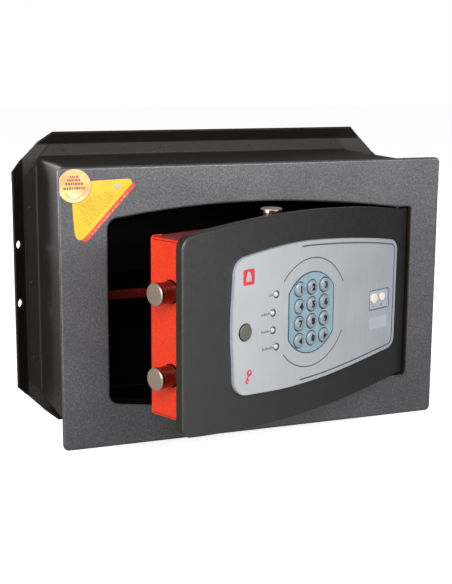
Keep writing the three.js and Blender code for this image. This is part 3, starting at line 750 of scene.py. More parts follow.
def front_frame():
    """The front pressing, with a lip folded back round the opening."""
    outer = rect(-155, 155, -105, 105, 4.0, 7)
    opening = arched(-119.3, 130.0, OPENING_HALF, 8.0, 2.4, top=OPENING_TOP)
    outer_profile = edge_profile(0, 4.0, 1.7, 0.4, 5)
    lip_profile = edge_profile(0, 10.0, 1.7, 0, 6)
    lip_profile += [(0.0, 17.4), (0.2, 17.85), (0.6, 18.0), (1.4, 18.0), (1.8, 17.85),
                    (2.0, 17.4), (2.0, 6.0), (2.5, 4.6), (3.2, 4.0)]
    mesh = skin([(outer, outer_profile), (opening, lip_profile)])
    # behind its front radius the lip is gloss black; on the hinge side it takes the lighter door
    # edge paint, painted light where the narrow gap would show near black
    lip_start = len(outer) * (len(outer_profile) - 1)
    lip_end = lip_start + len(opening) * (len(lip_profile) - 1)
    for i in range(lip_start, lip_end):
        xs, ys, zs = zip(*(mesh.verts[k] for k in mesh.faces[i]))
        depth = sum(ys) / len(ys)
        if min(xs) > 88:
            if depth > 0.3 or (max(zs) < 0 and max(xs) < 131.8):
                mesh.mats[i] = 2
        elif depth > 0.9:
            mesh.mats[i] = 1
    # hinge pockets, and small slots in the top edge
    cuts = [box(HINGE_X - 5.1, HINGE_X + 5.1, 1.1, 20, z0, z1) for z0, z1 in
            ((SOCKET_TOP - 3, SOCKET_TOP + 11), (SOCKET_BOTTOM - 11, SOCKET_BOTTOM + 3))]
    cuts += [box(x - 2.2, x + 2.2, 1.4, 5.0, 104.1, 107) for x in (-78.5, 79.0)]
    piece(mesh, "frame_pressing", "housing",
          ["frame_textured_grey", "lip_gloss_black", "door_edge_paint"], ["front_frame"],
          cuts=cuts, sharp=50)


def body_shell():
    """The open box of the body, with tabs folded outwards at the back."""
    inside_x, inside_z = SHELL_X - SHELL_WALL, SHELL_Z - SHELL_WALL
    mesh = slab(rect(-SHELL_X, SHELL_X, -SHELL_Z, SHELL_Z, 3.0), 4.0, SHELL_BACK,
                [rect(-inside_x, inside_x, -inside_z, inside_z, 1.0)], back=0.6)
    # the inner faces take the near-black interior finish, partly painted shade
    mesh.paint(1, lambda x, y, z: abs(x) < inside_x + 0.1 and abs(z) < inside_z + 0.1)
    # half length, shell half size, outer reach, turn in degrees
    for half, inner, outer, degrees in ((138.6, SHELL_Z, 111.7, 0), (138.6, SHELL_Z, 111.7, 180),
                                        (95.0, SHELL_X, 152.0, 90), (95.0, SHELL_X, 152.0, -90)):
        path = bend([(inner - 1.0, 126.0), (inner - 1.0, SHELL_BACK), (outer, SHELL_BACK)], 3.0)
        halves = [half - max(0.0, out - inner - 1.5) * 0.95 for out, y in path]
        mesh.join(sheet(path, halves).moved(rotation(degrees, "Y")))
    # spot welds on the tabs
    dome = [(0, 0.0), (0.7, 0.05), (1.2, 0.2), (1.7, 0.5), (1.75, 0.9), (0, 0.9)]
    welds = [(x, WELD_HIGH) for x in WELD_X]
    welds += [(x, z) for x in (-WELD_SIDE, WELD_SIDE) for z in WELD_Z]
    welds += [(x, -WELD_HIGH) for x in WELD_X]
    for x, z in welds:
        mesh.join(lathe([(radius, 135.72 + depth) for radius, depth in dome], "y", (x, 0, z), 16))
    piece(mesh, "body_shell_pressing", "housing",
          ["body_dark_primer", "interior_black_paint"], ["body_shell"], sharp=45)


def back_plate():
    """The flat behind the body, and its four lips folded forwards."""
    place = Matrix.Translation((6.4, 0, 0))
    half_x, half_z, corner = 160.6, 112.9, 13.9
    crease = 1.2  # the flat stops short of the creases; its corner cuts run on into the lips
    px, pz, cut = half_x - crease, half_z - crease, corner - 2 * crease
    outline = [(-px + cut, -pz), (px - cut, -pz), (px, -pz + cut), (px, pz - cut),
               (px - cut, pz), (-px + cut, pz), (-px, pz - cut), (-px, -pz + cut)]
    mesh = slab(outline, 137.92, 140.0, front=0.2, back=0.3, steps=2).moved(place)
    # the back face takes the darker back plate paint
    mesh.paint(2, lambda x, y, z: y > 138.6)
    # a thin near-black sheet on the face that closes the interior: dark paint, darkened further as
    # painted shade
    mesh.join(slab(rect(-INTERIOR_X, INTERIOR_X, -INTERIOR_Z, INTERIOR_Z), 137.85, 137.98), 1)
    piece(mesh, "back_plate_flat", "housing",
          ["back_plate_primer", "interior_black_paint", "back_plate_black"], ["back_plate"])
    # name, half length, crease, outer reach, turn in degrees, end taper, side of the holes
    for name, half, inner, outer, degrees, taper, side in (
        ("top", half_x - corner, half_z, 122.3, 0, 1.2, 0),
        ("bottom", half_x - corner, half_z, 122.3, 180, 1.2, 0),
        ("right", half_z - corner, half_x, 169.8, 90, 0.95, 1),
        ("left", half_z - corner, half_x, 169.8, -90, 0.95, -1),
    ):
        path = bend([(inner - 9.0, 139.0), (inner - 0.6, 139.0), (outer - 0.75, 131.5)], 5.0)
        halves = [half + (inner - out) * (taper + 0.1 if out > inner else 0.97)
                  for out, y in path]
        lip = sheet(path, halves).moved(rotation(degrees, "Y")).moved(place)
        holes = [peg("x", 3.4, -8, 8, count=28).moved(
            place @ Matrix.Translation((side * 165.3, 134.8, z)) @ rotation(side * 43, "Z"))
            for z in ((30.3, -18.8) if side else ())]
        # the lips take the darker paint, painted shade on their forward-bent faces
        piece(lip, "back_plate_lip_" + name, "housing", ["back_plate_black"],
              cuts=holes, bevel=0.3)


def shelf():
    """The tray across the middle: a folded sheet with a flange at each end."""
    path = bend([(137.9, 1.4), (62.6, 1.4), (62.6, -5.6)], 1.6)  # (y, z)
    mesh = bar([[(-INTERIOR_X, *above), (INTERIOR_X, *above),
                 (INTERIOR_X, *below), (-INTERIOR_X, *below)]
                for above, below in both_sides(path, 1.2)])
    for x0, x1 in ((-INTERIOR_X, -138.0), (138.0, INTERIOR_X)):
        mesh.join(box(x0, x1, 64.0, 137.9, -10.0, 1.2))
    mesh.paint(1, lambda x, y, z: z > 1.6)  # the upper face is near-black like the interior, partly painted shade
    piece(mesh, "shelf_tray", "housing", ["shelf_dark_red", "interior_black_paint"],
          ["shelf"], bevel=0.2)


# ------------------------------------------------------------------ labels on the frame
LABEL_ALONG = (34.9 / 51.2, 37.5 / 51.2)  # direction of the corner label's long edge
LABEL_YELLOW = [  # (x, z), as far as the cut round the seal
    (-145, 71), (-143.9, 57.6), (-142.9, 54.6), (-141.2, 53.0), (-139.2, 52.7), (-136.4, 54.4),
    (-101.5, 91.9), (-101.0, 93.4), (-101.9, 95.2), (-104.0, 95.9), (-128, 95.2)]
LABEL_BORDER = [
    (-143.6, 70), (-142.6, 57.4), (-141.4, 54.9), (-139.0, 54.6), (-136.6, 55.6),
    (-102.9, 91.9), (-103.4, 94.4), (-127, 94.0), (-129, 90)]
LABEL_BAND = [
    (-138.8, 52.5), (-137.4, 51.7), (-135.3, 51.6), (-133.4, 53.0), (-99.8, 89.2),
    (-98.9, 90.8), (-99.3, 92.6), (-100.7, 93.2), (-101.2, 91.7), (-136.2, 54.1)]
LABEL_RULES = (  # (distance from the long edge, start, end) of each printed rule
    (4.0, 8, 38), (5.7, 9, 38), (7.4, 8, 37), (9.1, 10, 36), (10.8, 9, 34),
    (12.5, 10, 31), (14.2, 11, 28), (15.9, 12, 24), (17.6, 12, 20), (19.3, 13, 17))
SEAL_ROWS = ((6.6, 3.2), (4.2, 5.2), (1.6, 6.6), (-1.6, 8.0))  # (height, half length)


def round_seal():
    """The gold seal at the upper left, clipped at the frame's edge."""
    disc = [(max(x, -154.4), z) for x, z in circle(SEAL_X, SEAL_Z, SEAL_RADIUS, 72)]
    disc = [point for i, point in enumerate(disc)
            if i == 0 or math.dist(point, disc[i - 1]) > 0.05]
    mesh = slab(disc, -0.30, 0.0, front=0.10, steps=2)
    rim = [(max(x, -154.0), z) for x, z in circle(SEAL_X, SEAL_Z, SEAL_RADIUS - 0.6, 72)]
    mesh.join(ribbon(rim, 0.5, -0.34, -0.2, closed=True), 1)
    # rows of short plain bars
    for k, (height, half) in enumerate(SEAL_ROWS):
        x, middle = -half, SEAL_Z + height
        while x < half - 0.4:
            width = 1.0 + 0.7 * ((k + int(x * 2)) % 3) / 2
            mesh.join(slab(rect(SEAL_X + x, SEAL_X + min(half, x + width),
                                middle - 0.9, middle + 0.9), -0.34, -0.2), 2)
            x += width + 0.5
    # a pale swoosh with a line along its lower edge
    upper = [(SEAL_X + x, SEAL_Z - 3.6 - 2.6 * math.cos(math.pi * x / 15.0))
             for x in (-6.6 + 1.2 * k for k in range(12))]
    lower = [(SEAL_X + x, SEAL_Z - 3.9 - 5.6 * math.cos(math.pi * x / 14.6))
             for x in (6.6 - 1.2 * k for k in range(12))]
    mesh.join(slab(upper + lower, -0.33, -0.2), 4)
    mesh.join(ribbon([(x, z + 0.1) for x, z in reversed(lower)], 0.8, -0.35, -0.2), 3)
    piece(mesh, "round_seal_foil", "housing",
          ["seal_gold_foil", "seal_pale_gold", "seal_brown_print", "label_amber_print",
           "seal_pale_field"], ["round_seal"])


def corner_label():
    """The yellow film below and right of the seal, with its print."""
    ux, uz = LABEL_ALONG

    def at(along, across):
        return (-136.4 + ux * along - uz * across, 54.4 + uz * along + ux * across)

    seal_cut = arc(SEAL_X, SEAL_Z, SEAL_RADIUS + 0.35, 14, -98, 24)
    mesh = slab(LABEL_YELLOW + seal_cut, -0.26, 0.0, front=0.06, steps=1)
    mesh.join(ribbon(inset(ccw(LABEL_BORDER), 1.6), 0.3, -0.285, -0.2, closed=True), 1)
    for k, (across, start, last) in enumerate(LABEL_RULES):
        while start < last:  # dashes of uneven length
            end = min(last, start + 1.6 + 1.1 * ((k * 3 + int(start)) % 3))
            mesh.join(ribbon([at(start, across), at(end, across)], 0.38, -0.29, -0.2), 3)
            start = end + 0.8
    emblem = [(0, -0.34), (2.1, -0.34), (2.4, -0.28), (2.4, -0.2), (0, -0.2)]
    mesh.join(lathe(emblem, "y", (-112.0, 0, 90.6), 28), 2)
    piece(mesh, "corner_label_film", "housing",
          ["label_yellow_film", "label_amber_print", "label_grey_emblem", "label_olive_print"],
          ["corner_label"])


def label_band():
    """The red band along the label's long edge, with pale specks."""
    ux, uz = LABEL_ALONG
    mesh = slab(LABEL_BAND, -0.27, 0.0, front=0.06, steps=1)
    for k in range(13):
        along = 5 + k * 3.2
        x, z = -134.3 + ux * along - 0.45, 52.4 + uz * along + 0.65
        length = 0.8 + (k % 3) * 0.5
        mesh.join(ribbon([(x, z), (x + ux * length, z + uz * length)], 0.7, -0.30, -0.2), 1)
    piece(mesh, "corner_label_red_band", "housing",
          ["label_red_film", "label_pale_pink"], ["corner_label_band"])


front_frame()
body_shell()
back_plate()
shelf()
round_seal()
corner_label()
label_band()

# ------------------------------------------------------------------ door and fascia
# (x, how far the top edge is lowered)
LEAF_TOP = ((-118, 0.2), (-105, 0.35), (-83, 1.1), (-50, 1.5), (0, 1.65), (48, 1.7), (73, 1.4),
            (98, 1.0), (129, 0.7))
FASCIA_FRONT, FASCIA_BACK = -3.0, -0.06
PRINT = (-3.06, -2.9)  # y of lines printed on the fascia
FASCIA_RADIUS, FASCIA_HALF = 740.0, 52.8
# (x, correction to the arc) of the fascia's edges; outwards is positive
FASCIA_LOW = ((-70, -0.2), (-57, -0.1), (-40, 0.5), (-19, 1.45), (25, 1.75), (49, 1.4),
              (74, 1.2), (99, 1.3), (112, 1.6))
FASCIA_HIGH = ((-70, 0.2), (-57, 0.6), (-40, 1.2), (-19, 1.85), (0, 2.15), (12, 1.85),
               (25, 1.3), (49, 0.6), (74, 0.0), (99, -0.3), (112, -0.2))
PAD_X, PAD_Z = 9.3, -2.0
KEYS = [(x, 17.1 - 12.8 * row) for row in range(4) for x in (-4.6, 9.2, 23.2)]
KEY_NAMES = ["1", "2", "3", "4", "5", "6", "7", "8", "9", "left", "0", "right"]
CAP_RADIUS = 15.0  # of the hollow in a key's face
LIGHTS = [(-29.8, 17), (-33.3, 3.9), (-33.2, -8.8), (-29.3, -21.5)]
LIGHT_MARKS = (3, 6, 6, 8)  # marks beside each light
CONTACTS = (("large", 86.0, 4.1), ("small", 96.4, 3.1))  # name, x, radius


def fascia_arc(x, crown_x):
    return FASCIA_HALF - (FASCIA_RADIUS - math.sqrt(FASCIA_RADIUS ** 2 - (x - crown_x) ** 2))


def fascia_low(x):
    return -1.2 + 1.5 * (x + 72) / 184 - fascia_arc(x, -6.0) - interpolate(FASCIA_LOW, x)


def fascia_high(x):
    return -3.0 + fascia_arc(x, 4.0) + interpolate(FASCIA_HIGH, x)


def fascia_outline():
    xs = [-52 + 10 * k for k in range(15)]
    polygon = [(-71.3, fascia_low(-71.3), 13)] + [(x, fascia_low(x), 0) for x in xs]
    polygon += [(112.3, fascia_low(112.3) - 0.4, 9), (113.4, fascia_high(113.4) - 0.6, 9)]
    polygon += [(x, fascia_high(x), 0) for x in reversed(xs)]
    polygon += [(-71.1, fascia_high(-71.1), 13), (-72.4, 24, 0), (-73.4, 12, 0),
                (-73.8, -1.8, 0), (-73.5, -14, 0), (-72.5, -26, 0)]
    return rounded(polygon, 9)


def pad_outline(radius, half, steps=26):
    """A circle round the keypad with flat left and right sides... cut level at +-half in Z."""
    start = math.acos(half / radius)
    angles = [start + (math.pi - 2 * start) * i / steps for i in range(steps + 1)]
    top = [(PAD_X + radius * math.cos(a), PAD_Z + radius * math.sin(a)) for a in angles]
    return top + [(2 * PAD_X - x, 2 * PAD_Z - z) for x, z in top]


def window(gap):
    """The contact window's outline, grown by a gap."""
    return rect(79.4 - gap, 103.8 + gap, -11.3 - gap, 3.7 + gap, 1.5, 4)


def door_leaf():
    outline = arched(-118.4, 129.5, 77.1, 9.0, 1.6, top=LEAF_TOP, bottom=0.6)
    mesh = slab(outline, 0.0, 6.9, [circle(*OVERRIDE, OVERRIDE_RADIUS, 40)], front=1.3, back=0.5,
                hole_front=0.2, hole_back=0.2, steps=5)
    # bosses round the hinge pins
    for z0, z1 in ((60, SOCKET_TOP - 1.1), (SOCKET_BOTTOM + 1.1, -60)):
        mesh.join(peg("z", 1.7, z0, z1, (HINGE_X, HINGE_Y, 0), 24))
    mesh.paint(1, lambda x, y, z: 0.9 < y < 6.8)
    piece(mesh, "door_leaf", "door", ["door_satin_charcoal", "door_edge_paint"],
          ["door_plate"], sharp=45)


def fascia_panel(outline):
    holes = [pad_outline(30.65, 25.45), circle(*OVERRIDE, OVERRIDE_RADIUS, 40), window(0.15)]
    holes += [circle(x, z, 2.5, 24) for x, z in LIGHTS]
    # the side faces take the darker silver, painted shade that damps their highlight
    mesh = slab(outline, FASCIA_FRONT, FASCIA_BACK, holes, front=0.5, back=0.1,
                hole_front=0.25, hole_back=0.05, side=1)
    piece(mesh, "fascia_panel", "door",
          ["fascia_brushed_silver", "fascia_edge_silver"], ["fascia_plate"], sharp=50)


def fascia_lines(outline):
    """Fine lines on the fascia: border, keypad arcs, window outline, small marks, and round each
    light a dark ring that is painted shadow.
    """
    border = [point for point in inset(ccw(outline), 3.5) if point[0] >= -9.0]
    # the open border starts at its leftmost point below the middle
    start = min(range(len(border)), key=lambda i: (border[i][1] >= 0, border[i][0]))
    mesh = ribbon(border[start:] + border[:start], 1.1, *PRINT)
    for first, last in ((139, 27), (-139, -28)):
        mesh.join(ribbon(arc(PAD_X, PAD_Z, 40.8, first, last), 0.8, *PRINT))
    mesh.join(ribbon(window(0.3), 0.5, *PRINT, closed=True))
    # round each light a dark ring set off to the right, thicker there: painted shadow of the lens
    for x, z in LIGHTS:
        mesh.join(slab(circle(x + 0.62, z - 0.15, 2.95, 28), -3.05, -2.9,
                       [circle(x, z, 2.3, 28)]))
    for k, (x, z) in enumerate(LIGHTS):
        for j in range(LIGHT_MARKS[k]):
            left = x - 4.4 - 1.45 * j
            top = z + (0.6, 1.2, 0.4)[(j + k) % 3]
            mesh.join(slab(rect(left, left + 0.95, z - 0.9, top), -3.05, -2.9), 2)
    # minus below the large contact, plus below the small one
    minus_x, plus_x = (x for _, x, _ in CONTACTS)
    for x in (minus_x, plus_x):
        mesh.join(ribbon([(x - 0.9, -8.9), (x + 0.9, -8.9)], 0.45, -1.72, -1.6))
    mesh.join(ribbon([(plus_x, -9.8), (plus_x, -8.0)], 0.45, -1.73, -1.6))
    mesh.join(slab(rect(79.6, 102.4, -27.2, -17.6, 0.8, 3), -3.05, -2.9), 1)
    piece(mesh, "fascia_lines", "door",
          ["printed_dark_grey", "fascia_blank_field", "printed_mid_grey"])


def keypad():
    """The blue bezel and the dark outlines of it and its keys."""
    mesh = slab(pad_outline(30.5, 25.3), -3.2, FASCIA_BACK,
                [circle(x, z, 5.45, 40) for x, z in KEYS],
                front=0.3, back=0.05, hole_front=0.2, hole_back=0.02, steps=2)
    piece(mesh, "keypad_bezel", "door", ["keypad_pale_blue"], ["keypad_panel"],
          sharp=45)
    mesh = ribbon(pad_outline(30.35, 25.15), 0.75, -3.26, -3.0, closed=True)
    for x, z in KEYS:
        mesh.join(ribbon(circle(x, z, 5.7, 40), 0.5, -3.25, -3.0, closed=True))
    piece(mesh, "keypad_outlines", "door", ["printed_dark_teal"])


def key_face(radius):
    """The y of a key's hollow face at a radius from its centre."""
    return -5.27 + (CAP_RADIUS - math.sqrt(CAP_RADIUS ** 2 - radius * radius))


def keycap(name, key_x, key_z):
    profile = [(radius, key_face(radius)) for radius in (0, 0.8, 1.6, 2.4, 3.2, 4.0, 4.5)]
    edge = key_face(4.5)
    profile += [(4.8, edge + 0.16), (5.0, edge + 0.36), (5.14, edge + 0.66), (5.2, edge + 1.0),
                (5.2, edge + 1.5), (5.2, -1.05), (5.1, -0.95), (0, -0.95)]
    mesh = lathe(profile, "y", (key_x, 0, key_z), 48)
    if name in ("left", "right"):
        sign = -1 if name == "left" else 1
        base_x = key_x - sign * 1.5
        mark = slab([(key_x + sign * 2.3, key_z), (base_x, key_z + 2.4), (base_x, key_z - 2.4)],
                    -0.25, 0.25)
    else:
        mark = glyph(name, height=5.2, depth=0.5, bold=0.05)
        mark.moved(Matrix.Translation((key_x, 0, key_z + 0.3)))
    # the mark follows the hollow
    mark.verts = [(x, y + key_face(math.hypot(x - key_x, z - key_z)) - 0.11, z)
                  for x, y, z in mark.verts]
    mesh.join(mark, 1)
    piece(mesh, "keycap_" + name, "key_%s_cap" % name,
          ["key_satin_grey", "key_ink_black"], ["key_" + name])


def status_lights():
    profile = [(0, -4.35), (0.65, -4.27), (1.2, -4.02), (1.65, -3.6), (1.95, -3.1),
               (2.05, -2.5), (2.05, -0.1), (0, -0.1)]
    for i, (x, z) in enumerate(LIGHTS, 1):
        piece(lathe(profile, "y", (x, 0, z), 32), "status_lens_%d" % i, "door",
              ["led_white_lens"], ["led_%d" % i], sharp=50)


def contacts():
    """The recessed window and its two round contacts."""
    piece(slab(window(0.0), -1.6, FASCIA_BACK, front=0.15, steps=2), "contact_recess", "door",
          ["contact_window_grey"], ["contact_window"], sharp=45)
    for name, x, radius in CONTACTS:
        profile = [(0, -2.75), (radius * 0.35, -2.78), (radius * 0.5, -2.9),
                   (radius * 0.86, -2.88), (radius * 0.97, -2.74), (radius, -2.5),
                   (radius, -1.62), (0, -1.62)]
        piece(lathe(profile, "y", (x, 0, -2.6)), "contact_stud_" + name, "door",
              ["contact_pale_gold"], ["contact_" + name], sharp=50)


def pictograms():
    """A padlock cut out of a red square, and below it a plain red key."""
    padlock = [(-2.6, -3.6), (2.6, -3.6), (2.6, 0.4), (2.0, 0.4), (2.0, 1.5)]
    padlock += [(2.0 * math.cos(a), 1.5 + 2.0 * math.sin(a))
                for a in (math.pi * k / 10 for k in range(1, 10))]
    padlock += [(-2.0, 1.5), (-2.0, 0.4), (-2.6, 0.4)]
    padlock = [(-58.1 + x, 33.4 + z) for x, z in padlock]
    mesh = slab(rect(-63.8, -52.4, 27.4, 38.6, 1.2), *PRINT, [padlock])
    # the key: ring, shaft and two teeth
    key = slab(circle(0, 2.9, 2.5, 32), *PRINT, [circle(0, 3.3, 1.05, 24)])
    key.join(slab(rect(-0.65, 0.65, -4.9, 0.8), -3.05, -2.9))
    for z in (-4.6, -2.7):
        key.join(slab(rect(0.5, 2.5, z, z + 1.15), -3.055, -2.9))
    mesh.join(key.moved(Matrix.Translation((-58.2, 0, -38.6)) @ rotation(28, "Y")))
    piece(mesh, "fascia_pictograms", "door", ["pictogram_red"])


def override_disc():
    profile = [(0, -4.3), (5.2, -4.3), (5.6, -4.22), (5.85, -4.0), (5.9, -3.75), (5.9, -3.3),
               (5.9, -3.25), (6.45, -3.22), (6.45, -3.1), (0, -3.1)]
    mesh = lathe(profile, "y", (OVERRIDE[0], 0, OVERRIDE[1]), 56)
    mesh.paint(1, lambda x, y, z: y > -3.6)  # a thin dark ring round the disc, painted shadow in the gap round it
    piece(mesh, "override_disc", "lock_cover",
          ["cover_olive_grey", "interior_black_paint"], ["override_cover"], sharp=50)


door_leaf()
fascia = fascia_outline()
fascia_panel(fascia)
fascia_lines(fascia)
keypad()
for key_name, (x, z) in zip(KEY_NAMES, KEYS):
    keycap(key_name, x, z)
status_lights()
contacts()
pictograms()
override_disc()

# ------------------------------------------------------------------ mechanism on the door's back
COVER_LEFT, COVER_RIGHT, COVER_LOW, COVER_HIGH = -100.7, 95.0, -68.0, 60.2
COVER_WALL, COVER_BACK = 1.2, 52.0
LID_LEFT, LID_RIGHT, LID_LOW, LID_HIGH = 33.0, 69.0, -29.0, 29.0
SCREWS = [(-96.3, 38.7), (90, 38.7), (-96.3, -46), (90, -46)]
BOLT_Y = 30.7
SIDE_BOLTS = (("upper", 23.7), ("lower", -35.9))  # name, z
SIDE_BOLT_TIP, SIDE_BOLT_END = -116.3, -76.06
UPRIGHT_X = 1  # of the top and bottom bolts
BOLT_HOLE = 8.45
BOLT_STEPS = [  # (radius, distance from the tip): a head with a soft rim, then the shaft
    (0, 0), (6.9, 0), (7.35, 0.06), (7.75, 0.25), (8.02, 0.55), (8.15, 0.95), (8.15, 3.0),
    (8.08, 3.4), (7.9, 3.7), (7.75, 4.2), (7.7, 5.0)]


def mechanism_cover():
    """The red folded box, cut for its hollow, bolts, lid, a small hole and the screws."""
    mesh = slab(rect(COVER_LEFT, COVER_RIGHT, COVER_LOW, COVER_HIGH, 1.4), 6.06, COVER_BACK,
                back=1.6, steps=5)
    hollow = rect(COVER_LEFT + COVER_WALL, COVER_RIGHT - COVER_WALL,
                  COVER_LOW + COVER_WALL, COVER_HIGH - COVER_WALL, 0.6, 4)
    cuts = [slab(hollow, 5.0, COVER_BACK - COVER_WALL, back=0.8, steps=3)]
    cuts += [peg("x", BOLT_HOLE, COVER_LEFT - 6, COVER_LEFT + 6, (0, BOLT_Y, z))
             for _, z in SIDE_BOLTS]
    cuts += [peg("z", BOLT_HOLE, z - 6, z + 6, (UPRIGHT_X, BOLT_Y, 0))
             for z in (COVER_HIGH, COVER_LOW)]
    gap = 0.4  # round the lid
    cuts.append(box(LID_LEFT - gap, LID_RIGHT + gap, COVER_BACK - 4, COVER_BACK + 4,
                    LID_LOW - gap, LID_HIGH + gap))
    cuts.append(peg("y", 3.3, 47, 57, (83, 0, 22)))
    cuts += [peg("y", 1.6, 47, 57, (x, 0, z), 20) for x, z in SCREWS]
    # open seams where the side walls meet at the corners
    for x in (COVER_LEFT, COVER_RIGHT):
        for edge, inwards in ((COVER_HIGH, -1), (COVER_LOW, 1)):
            z = edge + inwards * 1.55
            cuts.append(box(x - 2, x + 2, 5.5, COVER_BACK - 2.4, *sorted((z, z + inwards * 0.4))))
    # small tab at the upper rear corner on the left
    mesh.join(box(COVER_LEFT + 0.2, COVER_LEFT + 8.5, 48.6, 49.8,
                  COVER_HIGH - 0.3, COVER_HIGH + 0.9))
    piece(mesh, "mechanism_cover_folded", "door", ["cover_red_enamel"],
          ["mechanism_cover"], cuts=cuts)


def round_bolt(axis, tip, end, at):
    """A bolt from its tip to its end, polished behind the front face and its soft rim."""
    sign = 1 if tip > end else -1
    steps = BOLT_STEPS + [(7.7, abs(tip - end)), (0, abs(tip - end))]
    mesh = lathe([(radius, tip - sign * distance) for radius, distance in steps], axis, at, 64)
    mesh.paint(1, lambda *centre: abs(centre["xyz".index(axis)] - tip) > 1.1)
    return mesh


def side_bolts():
    for name, z in SIDE_BOLTS:
        # the side bolts' shafts take the darker polished finish, painted shade
        piece(round_bolt("x", SIDE_BOLT_TIP, SIDE_BOLT_END, (0, BOLT_Y, z)),
              "round_bolt_side_" + name, "bolt_work",
              ["bolt_satin_nickel", "bolt_polished_shaft"], ["bolt_side_" + name], sharp=50)


def upright_bolts():
    """The top and bottom bolts, each with a flat arm and a small pin behind its inner end."""
    # name, z of the tip, inner end and pin, then low and high ends of the arm
    for name, tip, end, pin, low, high in (("top", 73.2, 41.0, 14.0, 10.0, 43.0),
                                           ("bottom", -77.4, -53.0, -26.0, -55.0, -22.0)):
        mesh = round_bolt("z", tip, end, (UPRIGHT_X, BOLT_Y, 0))
        mesh.join(slab(rect(-5, 7, low, high, 1.0, 3), 33.4, 36.6, front=0.3, back=0.3, steps=2))
        mesh.join(peg("y", 2.0, 36, 40.6, (UPRIGHT_X, 0, pin), 28))
        piece(mesh, "round_bolt_" + name, name + "_bolt",
              ["bolt_satin_nickel", "bolt_polished_shaft_upright"], ["bolt_" + name], sharp=50)


def cover_screws():
    """Pan-head screws with a cross recess."""
    profile = [(0, 46), (1.45, 46), (1.45, 52.06), (2.7, 52.06), (2.9, 52.3), (2.85, 52.7),
               (2.4, 53.2), (1.6, 53.5), (0, 53.6)]
    for i, (x, z) in enumerate(SCREWS, 1):
        cross = [box(x - dx, x + dx, 52.7, 54, z - dz, z + dz)
                 for dx, dz in ((1.5, 0.3), (0.3, 1.5))]
        piece(lathe(profile, "y", (x, 0, z), 32), "pan_screw_%d" % i, "door",
              ["plated_steel"], ["cover_screw_%d" % i], cuts=cross, sharp=35)


def battery_lid():
    mesh = slab(rect(LID_LEFT, LID_RIGHT, LID_LOW, LID_HIGH, 0.6, 3), 50.8, COVER_BACK,
                front=0.2, back=0.3, steps=2)
    cuts = [slab(rect(63, 66, -10, 10, 1.4), 51.4, 53)]
    cuts += [box(LID_LEFT + 5 + 3 * k, LID_LEFT + 5.9 + 3 * k, 51.75, 53, -22, 22)
             for k in range(7)]  # grip grooves
    piece(mesh, "battery_lid_plate", "battery_door", ["cover_red_enamel"],
          ["battery_lid"], cuts=cuts, sharp=35)


mechanism_cover()
side_bolts()
upright_bolts()
cover_screws()
battery_lid()

# ------------------------------------------------------------------ pieces kept as loaded
# names, finish, bevel width
for names, finish_name, width in (
    (["hinge_socket_top", "hinge_socket_bottom"], "door_satin_charcoal", 0.3),
    (["hinge_pin_top", "hinge_pin_bottom"], "door_satin_charcoal", 0.15),
    (["override_housing", "override_plug"], "plated_steel", 0.25),
    (["battery_holder", "reset_button"], "moulded_black", 0.3),
    (["battery_cells"], "cell_wrap_green", 0.5),
    (["control_board"], "board_green", 0.15),
    (["gear_motor", "bolt_carriage", "guide_post_1", "guide_post_2", "drive_screw"],
     "plated_steel", 0.25),
    (["drive_nut"], "nut_brass", 0.3),
):
    for name in names:
        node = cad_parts[name]
        for material_slot in node.material_slots:
            material_slot.material = FINISHES[finish_name]
        weld = node.modifiers.new("weld", "WELD")
        weld.merge_threshold = 1e-6
        round_edges(node, width, angle=40)


# ------------------------------------------------------------------ floor, light, camera
# From here on lengths are metres.
def floor_finish():
    """Pale seamless paper that reads near white to the camera and darker to the light."""
    bounce_grey = (0.32, 0.32, 0.32, 1.0)
    camera_glow = 0.855
    finish = Finish("studio_floor", Roughness=0.9, Specular_IOR_Level=0.0)
    glow, add = finish.node("Emission"), finish.node("AddShader")
    to_camera = finish.node("LightPath").outputs["Is Camera Ray"]
    paper = finish.mix(linear((236, 236, 236)), linear((242, 242, 242)),
                       finish.ramp(finish.noise(size=90), between=(0.35, 0.65)))
    finish.set(Base_Color=finish.mix(bounce_grey, paper, to_camera))
    finish.feed(glow.inputs["Strength"], finish.calculate("MULTIPLY", to_camera, camera_glow))
    finish.feed(add.inputs[0], finish.shader.outputs[0])
    finish.feed(add.inputs[1], glow.outputs[0])
    finish.feed(finish.output.inputs[0], add.outputs[0])
    return finish.material


def make_floor():
    half, height = 6.0, -0.1224
    corners = [(-half, -half, height), (half, -half, height),
               (half, half, height), (-half, half, height)]
    data = bpy.data.meshes.new("floor")
    data.from_pydata(corners, [], [(0, 1, 2, 3)])
    data.materials.append(floor_finish())
    floor = bpy.data.objects.new("studio_floor", data)
    COLLECTION.objects.link(floor)


def make_world():
    """White to the camera, dim to everything else."""
    world = bpy.data.worlds.new("studio")
    bpy.context.scene.world = world
    world.use_nodes = True
    nodes, links = world.node_tree.nodes, world.node_tree.links
    nodes.clear()
    output = nodes.new("ShaderNodeOutputWorld")
    mix = nodes.new("ShaderNodeMixShader")
    path = nodes.new("ShaderNodeLightPath")
    links.new(path.outputs["Is Camera Ray"], mix.inputs[0])
    for socket, strength in ((1, 0.14), (2, 1.0)):  # ambient light, then the camera's view
        background = nodes.new("ShaderNodeBackground")
        background.inputs[0].default_value = (1, 1, 1, 1)
        background.inputs[1].default_value = strength
        links.new(background.outputs[0], mix.inputs[socket])
    links.new(mix.outputs[0], output.inputs[0])


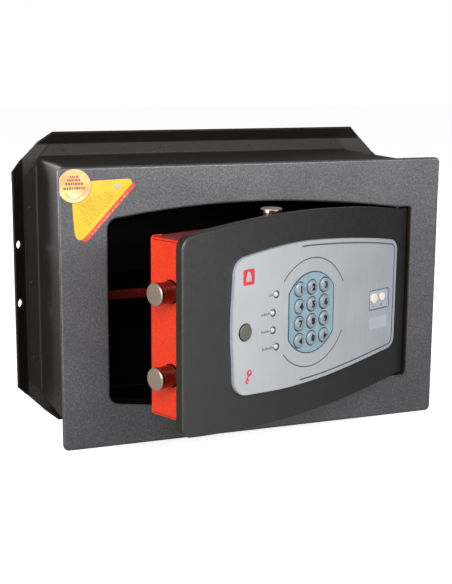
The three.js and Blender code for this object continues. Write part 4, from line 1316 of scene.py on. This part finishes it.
def softbox(name, at, target, size, power):
    light = bpy.data.lights.new(name, "AREA")
    light.shape = "RECTANGLE"
    light.size, light.size_y = size
    light.energy = power
    ob = bpy.data.objects.new(name, light)
    COLLECTION.objects.link(ob)
    ob.location = at
    ob.rotation_mode = "QUATERNION"
    ob.rotation_quaternion = (Vector(target) - Vector(at)).to_track_quat("-Z", "Y")


def make_camera():
    """The camera, with its turn right, tilt down and roll in degrees."""
    data = bpy.data.cameras.new("camera")
    data.sensor_fit = "AUTO"
    data.sensor_width = 36.0
    data.lens = 72.544315
    data.clip_start, data.clip_end = 0.01, 50
    camera = bpy.data.objects.new("camera", data)
    COLLECTION.objects.link(camera)
    yaw, pitch, roll = (math.radians(angle) for angle in (21.0972, 11.3264, -0.36911))
    forward = Vector((math.sin(yaw) * math.cos(pitch), math.cos(yaw) * math.cos(pitch),
                      -math.sin(pitch)))
    level_right = Vector((math.cos(yaw), -math.sin(yaw), 0))
    level_down = forward.cross(level_right)
    right = math.cos(roll) * level_right + math.sin(roll) * level_down
    down = -math.sin(roll) * level_right + math.cos(roll) * level_down
    turn = Matrix((right, -down, -forward)).transposed().to_4x4()
    camera.matrix_world = Matrix.Translation((-0.34307, -0.957866, 0.182977)) @ turn
    bpy.context.scene.camera = camera


make_floor()
make_world()
# name, place, target, (width, height), watts
for row in (
    ("key_softbox", (0.26, -1.25, 0.50), (0, -0.15, 0.03), (0.7, 0.4), 6.5),
    ("sheen_softbox", (0.50, -1.12, 0.28), (0.02, -0.14, 0.06), (0.9, 0.18), 4.5),
    ("front_left_softbox", (-0.50, -0.98, 0.58), (-0.02, -0.15, 0.0), (0.5, 0.45), 7.2),
    ("left_softbox", (-1.6, -0.90, 0.26), (-0.05, -0.13, 0), (0.7, 1.0), 26),
    ("rear_softbox", (-0.5, 1.7, 0.18), (0, 0, 0), (1.4, 0.6), 16),
    ("rear_right_softbox", (1.6, 0.9, 0.18), (0.1, -0.05, 0), (0.8, 0.7), 14),
):
    softbox(*row)
make_camera()
bpy.context.scene.view_settings.view_transform = "Standard"
